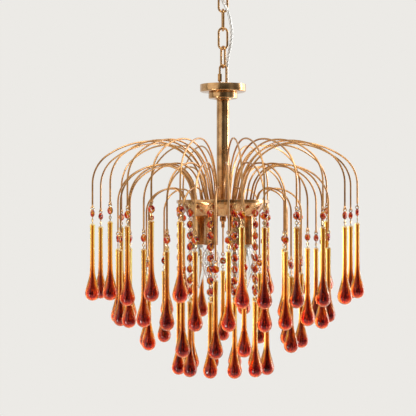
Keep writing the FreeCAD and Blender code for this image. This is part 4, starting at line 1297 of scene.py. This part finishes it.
@dataclass
class Pendants:
    """The pendants of the three tiers and the bead strands under the drum."""

    finishes: Finishes
    parts: PendantParts
    chance: random.Random
    strands: int = 12
    strand_circle: float = 90.5
    first_strand: float = 13.6
    strand_beads: int = 8
    strand_level: float = -517.8
    strand_pitch: float = 21.8
    strand_gap: float = 17.5

    def swinging(self, tier: Tier) -> None:
        """Hangs a tier whose pendants each swing.

        Args:
            tier: the outer one.
        """
        for number, place in enumerate(tier.places(), start=1):
            node = f"outer_pendant_{number:02d}"
            hung = Hung()
            self._hang(hung, [-self.parts.bead_drop], self.parts.drop_gap, place)
            hung.metal.piece(f"{node}_pins", self.finishes.pin_brass, Slot.WIRE, node, body=node)
            self._glass(hung, node, f"{node}_bead", f"{node}_drop")

    def fixed(self, tiers: Sequence[Tier]) -> None:
        """Hangs the tiers and strands that don't swing.

        Args:
            tiers: the middle and inner ones.
        """
        hung = Hung()
        for tier in tiers:
            for place in tier.places():
                self._hang(hung, [-self.parts.bead_drop], self.parts.drop_gap, place)
        strung = Hung(metal=hung.metal)
        levels = [self.strand_level - self.strand_pitch * number for number in range(self.strand_beads)]
        for azimuth in spaced(self.first_strand, self.strands):
            self._hang(strung, levels, self.strand_gap, around(azimuth, self.strand_circle, 0))
        hung.metal.piece("pins_and_rings", self.finishes.pin_brass, Slot.WIRE, "fixed_pins")
        self._glass(hung, "chandelier", "tier_beads", "tier_drops", "inner_beads", "inner_drops")
        self._glass(strung, "chandelier", "beads_on_strands", "drops_on_strands", "strand_beads",
                    "strand_drops")
        dress("strand_hooks", self.finishes.pin_brass)

    def _hang(self, hung: Hung, levels: Sequence[float], gap: float, place: Matrix) -> None:
        """Hangs one pendant or strand: a pin, its beads with a ring below each, and a drop.

        Args:
            hung: takes the metal, the beads and the drop.
            levels: each bead's height.
            gap: from the last bead's middle to the drop's top.
            place: of the pendant's eye or the strand's axis.
        """
        parts, half = self.parts, self.parts.bead_flats / 2
        drop_top = levels[-1] - gap
        parts.pin(hung.metal, levels[0], place)
        for above, below in zip(levels, [*(level + half for level in levels[1:]), drop_top]):
            parts.link(hung.metal, above - half, below, place)
        for level in levels:
            bead_place = place @ Matrix.Translation((0, 0, level))
            hung.beads.stamp(parts.bead, bead_place, tint=self.chance.random())
        spun = Matrix.Rotation(self.chance.uniform(0, FULL_TURN), 4, "Z")
        drop_place = place @ Matrix.Translation((0, 0, drop_top)) @ spun
        hung.drops.stamp(parts.drop, drop_place, length=parts.drop_length, tint=self.chance.random())

    def _glass(self, hung: Hung, body: str, bead: str, drop: str, *nodes: str) -> None:
        """Makes pieces of the beads and the drops.

        Args:
            hung: holds them.
            body: what they move with.
            bead: the name of the beads' piece.
            drop: the name of the drops' piece.
            nodes: the CAD nodes of the beads and of the drops, where they have their own.
        """
        crystal, glass = self.finishes.crystal, self.finishes.drop_glass
        hung.beads.piece(bead, crystal, Slot.BEAD, *nodes[:1], body=body, smooth=False)
        hung.drops.piece(drop, glass, Slot.DROP, *nodes[1:], body=body, crease=80)


@dataclass
class CandleLamps:
    """Six candle tubes under the drum, each with a clear candle lamp."""

    finishes: Finishes
    lamps: int = 6
    circle: float = 48.0
    first: float = 30.0
    tube_radius: float = 13.5
    tube_wall: float = 1.0
    tube_length: float = 56.6
    tube_hole: float = 5.0
    mouth: float = 10.8
    cap_radius: float = 6.8
    cap_length: float = 24.0
    threads: int = 13
    thread_from: float = 1.0
    thread_step: float = 1.6
    thread_depth: float = 0.7
    collar_radius: float = 8.0
    collar_height: float = 6.0
    glass_seat: float = 1.2
    glass_length: float = 86.0
    glass_radius: float = 17.5
    glass_wall: float = 1.0
    stem_wire: float = 2.8
    stem_length: float = 16.0
    # Two wires on each side: how far out and how high each begins, how much it leans out, its thickness and
    # its length.
    lead: Sequence[float] = (1.0, -20.0, 0.22, 0.7, 26.0)
    filament: Sequence[float] = (6.6, -45.5, -0.25, 0.6, 16.0)

    def build(self) -> None:
        """Makes the tubes as one piece and each lamp's glass, collar, cap and filament."""
        pattern, tubes = self._tube(), Form()
        for number, azimuth in enumerate(spaced(self.first, self.lamps), start=1):
            tubes.stamp(pattern, around(azimuth, self.circle, PAN_FLOOR))
            place = around(azimuth, self.circle, PAN_FLOOR - self.tube_length)
            body = f"candle_lamp_{number}"
            for name, form, material, nodes, crease in (
                ("candle_glass", self._glass(), self.finishes.lamp_glass, [body], 80),
                ("lamp_collar", self._collar(), self.finishes.lamp_collar, [], 40),
                ("lamp_cap", self._cap(), self.finishes.nickel, [], 40),
                ("lamp_filament", self._filament(), self.finishes.filament, [], 40),
            ):
                form.moved(place)
                form.piece(f"{name}_{number}", material, Slot.LAMP, *nodes, body=body, crease=crease)
        tubes.piece("candle_sleeves", self.finishes.drawn_brass, Slot.TURNED, "candle_tubes")
        dress("lampholders", self.finishes.phenolic)

    def _tube(self) -> Mesh:
        """Turns one candle tube, with a narrower mouth.

        Returns:
            The tube, its top at the origin.
        """
        outside, wall, foot, mouth = self.tube_radius, self.tube_wall, -self.tube_length, self.mouth
        hole = self.tube_hole
        form = Form()
        form.turned([
            (hole, 0.0), (outside - 0.4, 0.0), (outside, -0.5), (outside, foot + 0.8), (outside - 0.7, foot),
            (mouth, foot), (mouth, foot + wall), (outside - wall, foot + wall), (outside - wall, -wall),
            (hole, -wall),
        ], steps=40, loop=True)
        return form.mesh("tube_pattern")

    def _glass(self) -> Form:
        """Blows the lamp's glass, a thin wall with a pointed end.

        Returns:
            The glass, below the cap's foot at the origin.
        """
        # How far down the glass, and how wide there, as shares of its length and its widest radius.
        shape = [(0, 0.43), (0.06, 0.52), (0.2, 0.87), (0.33, 1), (0.5, 0.92), (0.7, 0.6), (0.86, 0.3),
                 (0.96, 0.13), (1, 0)]
        top = -self.glass_seat
        outer = faired([(out * self.glass_radius, top - down * self.glass_length) for down, out in shape])
        inner = [(max(0.0, out - self.glass_wall), min(top, up + 0.3)) for out, up in outer[:-1]]
        form = Form()
        form.turned([*outer[::-1], *inner, (0.0, outer[-1][1] + 1.5)], steps=32)
        return form

    def _collar(self) -> Form:
        """Turns the white collar between cap and glass.

        Returns:
            The collar.
        """
        radius, foot = self.collar_radius, -self.collar_height
        form = Form()
        form.turned([(0.0, 0.0), (radius, 0.0), (radius, -1.2), (radius - 0.4, foot), (0.0, foot)], steps=28)
        return form

    def _cap(self) -> Form:
        """Rolls the screw cap, with its thread as rings.

        Returns:
            The cap, its foot at the origin.
        """
        radius, top = self.cap_radius, self.cap_length
        thread = [(radius - self.thread_depth * (1 - k % 2), self.thread_from + self.thread_step * k)
                  for k in range(self.threads)]
        form = Form()
        form.turned([(0.0, 0.0), (radius, 0.0), *thread, (3.0, top), (0.0, top)], steps=28)
        return form

    def _filament(self) -> Form:
        """Draws the stem in the glass, its two leads and the bent filament.

        Returns:
            The filament and what holds it.
        """
        form = Form()
        form.rod(UP * -self.collar_height, -UP, self.stem_wire / 2, self.stem_length, sides=8)
        for side in (-1, 1):
            for out, level, lean, wire, length in (self.lead, self.filament):
                start, way = Vector((side * out, 0, level)), Vector((side * lean, 0, -1))
                form.rod(start, way, wire / 2, length, sides=6)
        return form


@dataclass
class SupplyCord:
    """The clear supply cord, in stretches that each bend across one joint of the chain."""

    finishes: Finishes
    diameter: float = 6.0
    route: Sequence[tuple[float, float, float]] = (
        (-18, 0, -15.5), (-18, 0, -28), (-13.4, 4, -44), (-9.8, 9.2, -60), (-7.4, 7.4, -76.5),
        (0.4, -1.2, -94.5), (9.6, -8.4, -112.5), (14.2, -7.4, -130.5), (17, -4, -148.5), (17.2, 0, -166.5),
        (14.8, 3.4, -184.5), (10.2, 5.8, -202.5), (8.1, 7.4, -220.5), (7.9, 11, -238.5), (8.5, 13.6, -254),
        (8.6, 13.8, -265.5),
    )
    cuts: Sequence[int] = (4, 6, 8, 10, 12)
    bodies: Sequence[str] = (
        "ceiling", "chain_link_1", "chain_link_2", "chain_link_3", "chain_link_4", "screw_link", "chandelier",
    )

    def build(self) -> None:
        """Lays the route, cuts it at the middle of a run between two joints, and blends each stretch."""
        points = [Vector(p) * MM for p in self.route]
        middles = [(points[k] + points[k + 1]) / 2 for k in self.cuts]
        ends = [points[0], *middles, points[-1]]
        marks = [0, *self.cuts, len(points) - 2]
        run = 0.0
        for number, (start, end) in enumerate(zip(ends, ends[1:])):
            control = [start, *points[marks[number] + 1:marks[number + 1] + 1], end]
            run += self._stretch(number, control, run)

    def _stretch(self, number: int, control: Sequence[Vector], run: float) -> float:
        """Makes one stretch of the cord.

        Args:
            number: of the stretch, from the ceiling down.
            control: the route's points in metres, with the stretch's two ends.
            run: how much of the cord lies above it, in metres.

        Returns:
            Its own length in metres.
        """
        start, end = control[0], control[-1]
        path, tube = self._sheath(number, control)
        self._wind(tube, path, run)
        obj = linked(f"supply_cord_{number + 1}", tube)
        length = sum((b - a).length for a, b in zip(path, path[1:]))
        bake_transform(obj, self.bodies[number], self.bodies[number + 1], start=start, end=end)
        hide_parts("supply_cord")
        LOG.info("%s: %.0f mm", obj.name, length / MM)
        return length

    def _sheath(self, number: int, control: Sequence[Vector]) -> tuple[list[Vector], Mesh]:
        """Draws a smooth curve through a stretch's points and gives it the cord's thickness.

        Args:
            number: of the stretch.
            control: its points in metres.

        Returns:
            The middle line's points and the tube.
        """
        curve = bpy.data.curves.new(f"cord_route_{number}", "CURVE")
        curve.dimensions = "3D"
        spline = curve.splines.new("NURBS")
        spline.points.add(len(control) - 1)
        for point, place in zip(spline.points, control):
            point.co = (*place, 1.0)
        spline.order_u = 3
        spline.use_endpoint_u = True
        curve.resolution_u = 10
        line = linked(f"cord_line_{number}", curve)
        centre = bpy.data.meshes.new_from_object(line)
        path = [v.co.copy() for v in centre.vertices]
        curve.bevel_depth = self.diameter / 2 * MM
        curve.bevel_resolution = 4
        curve.use_fill_caps = True
        tube = bpy.data.meshes.new_from_object(line)
        bpy.data.objects.remove(line)
        bpy.data.meshes.remove(centre)
        for polygon in tube.polygons:
            polygon.use_smooth = True
        tube.set_sharp_from_angle(angle=math.radians(60))
        tube.materials.clear()
        tube.materials.append(self.finishes.cord)
        return path, tube

    @staticmethod
    def _wind(tube: Mesh, path: Sequence[Vector], run: float) -> None:
        """Tells each point of a stretch which way it lies from the middle line, and how far down the cord.

        Args:
            tube: the stretch.
            path: its middle line.
            run: how much of the cord lies above it, in metres.
        """
        reached = [run]
        for a, b in zip(path, path[1:]):
            reached.append(reached[-1] + (b - a).length)
        layer = tube.attributes.new("wound", "FLOAT_VECTOR", "POINT")
        for vert in tube.vertices:
            near = min(range(len(path)), key=lambda k: (path[k] - vert.co).length_squared)
            out = (vert.co - path[near]).normalized()
            layer.data[vert.index].vector = (out.x, out.y, reached[near])


@dataclass(frozen=True)
class SoftBox:
    """One soft lamp of the studio, in metres and watts."""

    name: str
    place: tuple[float, float, float]
    width: float
    height: float
    power: float
    tone: str = "FFFFFF"

    def hang(self, middle: Vector) -> None:
        """Hangs the lamp, turned to the chandelier's middle.

        Args:
            middle: where it points.
        """
        light = bpy.data.lights.new(self.name, "AREA")
        light.shape = "RECTANGLE"
        light.size = self.width
        light.size_y = self.height
        light.energy = self.power
        light.color = linear(self.tone)[:3]
        obj = linked(self.name, light)
        obj.visible_camera = False
        obj.location = self.place
        obj.rotation_euler = (middle - Vector(self.place)).to_track_quat("-Z", "Y").to_euler()


@dataclass
class Studio:
    """A pale room with soft light and the camera, in metres."""

    camera_place: tuple[float, float, float] = (-0.030, -2.692, -0.529)
    tilt: float = 0.47
    focal_mm: float = 116.5
    sensor_mm: float = 36.0
    middle: tuple[float, float, float] = (0.0, 0.0, -0.55)
    floor_level: float = -1.75
    floor_reach: float = 5.0
    tone: str = "ECEAE6"
    warm: tuple[float, float, float] = (1.0, 0.985, 0.96)
    lamps: Sequence[SoftBox] = (
        SoftBox("key", (-2.1, -1.5, 0.3), 3.0, 3.0, 22, "FFF8F0"),
        SoftBox("front", (0.5, -1.5, 1.5), 1.8, 0.9, 24),
        SoftBox("low_window", (-1.33, -1.12, -1.42), 0.4, 0.6, 10),
        SoftBox("rim_box", (1.7, 1.1, -0.3), 1.4, 2.4, 18),
        SoftBox("rim_strip", (1.95, 0.5, -0.4), 0.2, 2.2, 18),
        SoftBox("top", (0.2, -0.4, 1.4), 1.8, 1.8, 16),
    )
    # How bright the room is in each direction, in degrees from the camera and rising to the viewer's right.
    flags: Sequence[tuple[float, float]] = (
        (-180, 0.7), (-100, 0.6), (-86, 0.12), (-25, 0.12), (-12, 0.07), (26, 0.07), (38, 0.3), (48, 0.26),
        (60, 0.12), (82, 0.16), (96, 0.9), (158, 1.0), (180, 0.7),
    )

    def build(self) -> None:
        """Sets up floor, world, lamps and camera."""
        bpy.context.scene.view_settings.view_transform = "Standard"
        self._floor()
        self._world()
        for lamp in self.lamps:
            lamp.hang(Vector(self.middle))
        self._camera()

    def _camera(self) -> None:
        """Stands the camera where the photograph was taken."""
        camera = bpy.data.cameras.new("camera")
        camera.lens = self.focal_mm
        camera.sensor_width = self.sensor_mm
        obj = linked("camera", camera)
        obj.location = self.camera_place
        obj.rotation_euler = (math.radians(90 + self.tilt), 0, 0)
        bpy.context.scene.camera = obj

    def _floor(self) -> None:
        """Lays a wide pale floor."""
        form = bmesh.new()
        bmesh.ops.create_grid(form, x_segments=1, y_segments=1, size=self.floor_reach)
        bmesh.ops.translate(form, vec=(0, 0, self.floor_level), verts=form.verts)
        made = bpy.data.meshes.new("floor")
        form.to_mesh(made)
        form.free()
        made.materials.append(PlasterFinish("pale_plaster_floor", self.tone).material())
        linked("floor", made)

    def _world(self) -> None:
        """Lights the room softly between darker flags, and keeps it pale for the camera and through glass."""
        world = bpy.data.worlds.new("room")
        world.use_nodes = True
        tree = world.node_tree
        tree.nodes.clear()
        path = add(tree, "LightPath").outputs
        seen = add(tree, "Math", {0: path["Is Camera Ray"], 1: path["Is Transmission Ray"]},
                   operation="MAXIMUM")
        way = add(tree, "SeparateXYZ", {"Vector": add(tree, "TexCoord").outputs["Generated"]}).outputs
        front = add(tree, "Math", {0: way["Y"], 1: -1.0}, operation="MULTIPLY")
        bearing = add(tree, "Math", {0: way["X"], 1: front}, operation="ARCTAN2")
        share = add(tree, "MapRange", {"Value": bearing, "From Min": -math.pi, "From Max": math.pi})
        flags = [((degrees + 180) / 360, (*(level * part for part in self.warm), 1.0))
                 for degrees, level in self.flags]
        mirrored = add(tree, "ValToRGB", {"Fac": share}, stops=flags)
        light = add(tree, "Background", {"Color": mirrored, "Strength": 1.0})
        back = add(tree, "Background", {"Color": self.tone, "Strength": 1.0})
        mixed = add(tree, "MixShader", {0: seen, 1: light, 2: back})
        output = add(tree, "OutputWorld", {"Surface": mixed})
        output.is_active_output = True
        bpy.context.scene.world = world


def main() -> None:
    """Builds the chandelier from the ceiling down, then the studio."""
    logging.basicConfig(level=logging.INFO, format="%(message)s")
    finishes = Finishes()
    parts = PendantParts()
    CeilingFitting(finishes).build()
    Chain(finishes).build()
    SupplyCord(finishes).build()
    Collar(finishes).build()
    Drum(finishes).build()
    outer = Tier("outer", finishes, parts, OUTER_PENDANTS, foot=36, foot_angle=75, peak=145, lift=115,
                 end=267, eye_level=-504, fall=85)
    middle = Tier("middle", finishes, parts, MIDDLE_PENDANTS, foot=60, foot_angle=78, peak=122, lift=70,
                  end=210, eye_level=-554, fall=75)
    inner = Tier("inner", finishes, parts, INNER_PENDANTS, foot=80, foot_angle=70, peak=104, lift=23,
                 end=156, eye_level=-605, fall=48)
    for tier in (outer, middle, inner):
        tier.wires()
    pendants = Pendants(finishes, parts, random.Random(11))
    pendants.swinging(outer)
    pendants.fixed([middle, inner])
    CandleLamps(finishes).build()
    Studio().build()


if __name__ == "__main__":
    main()
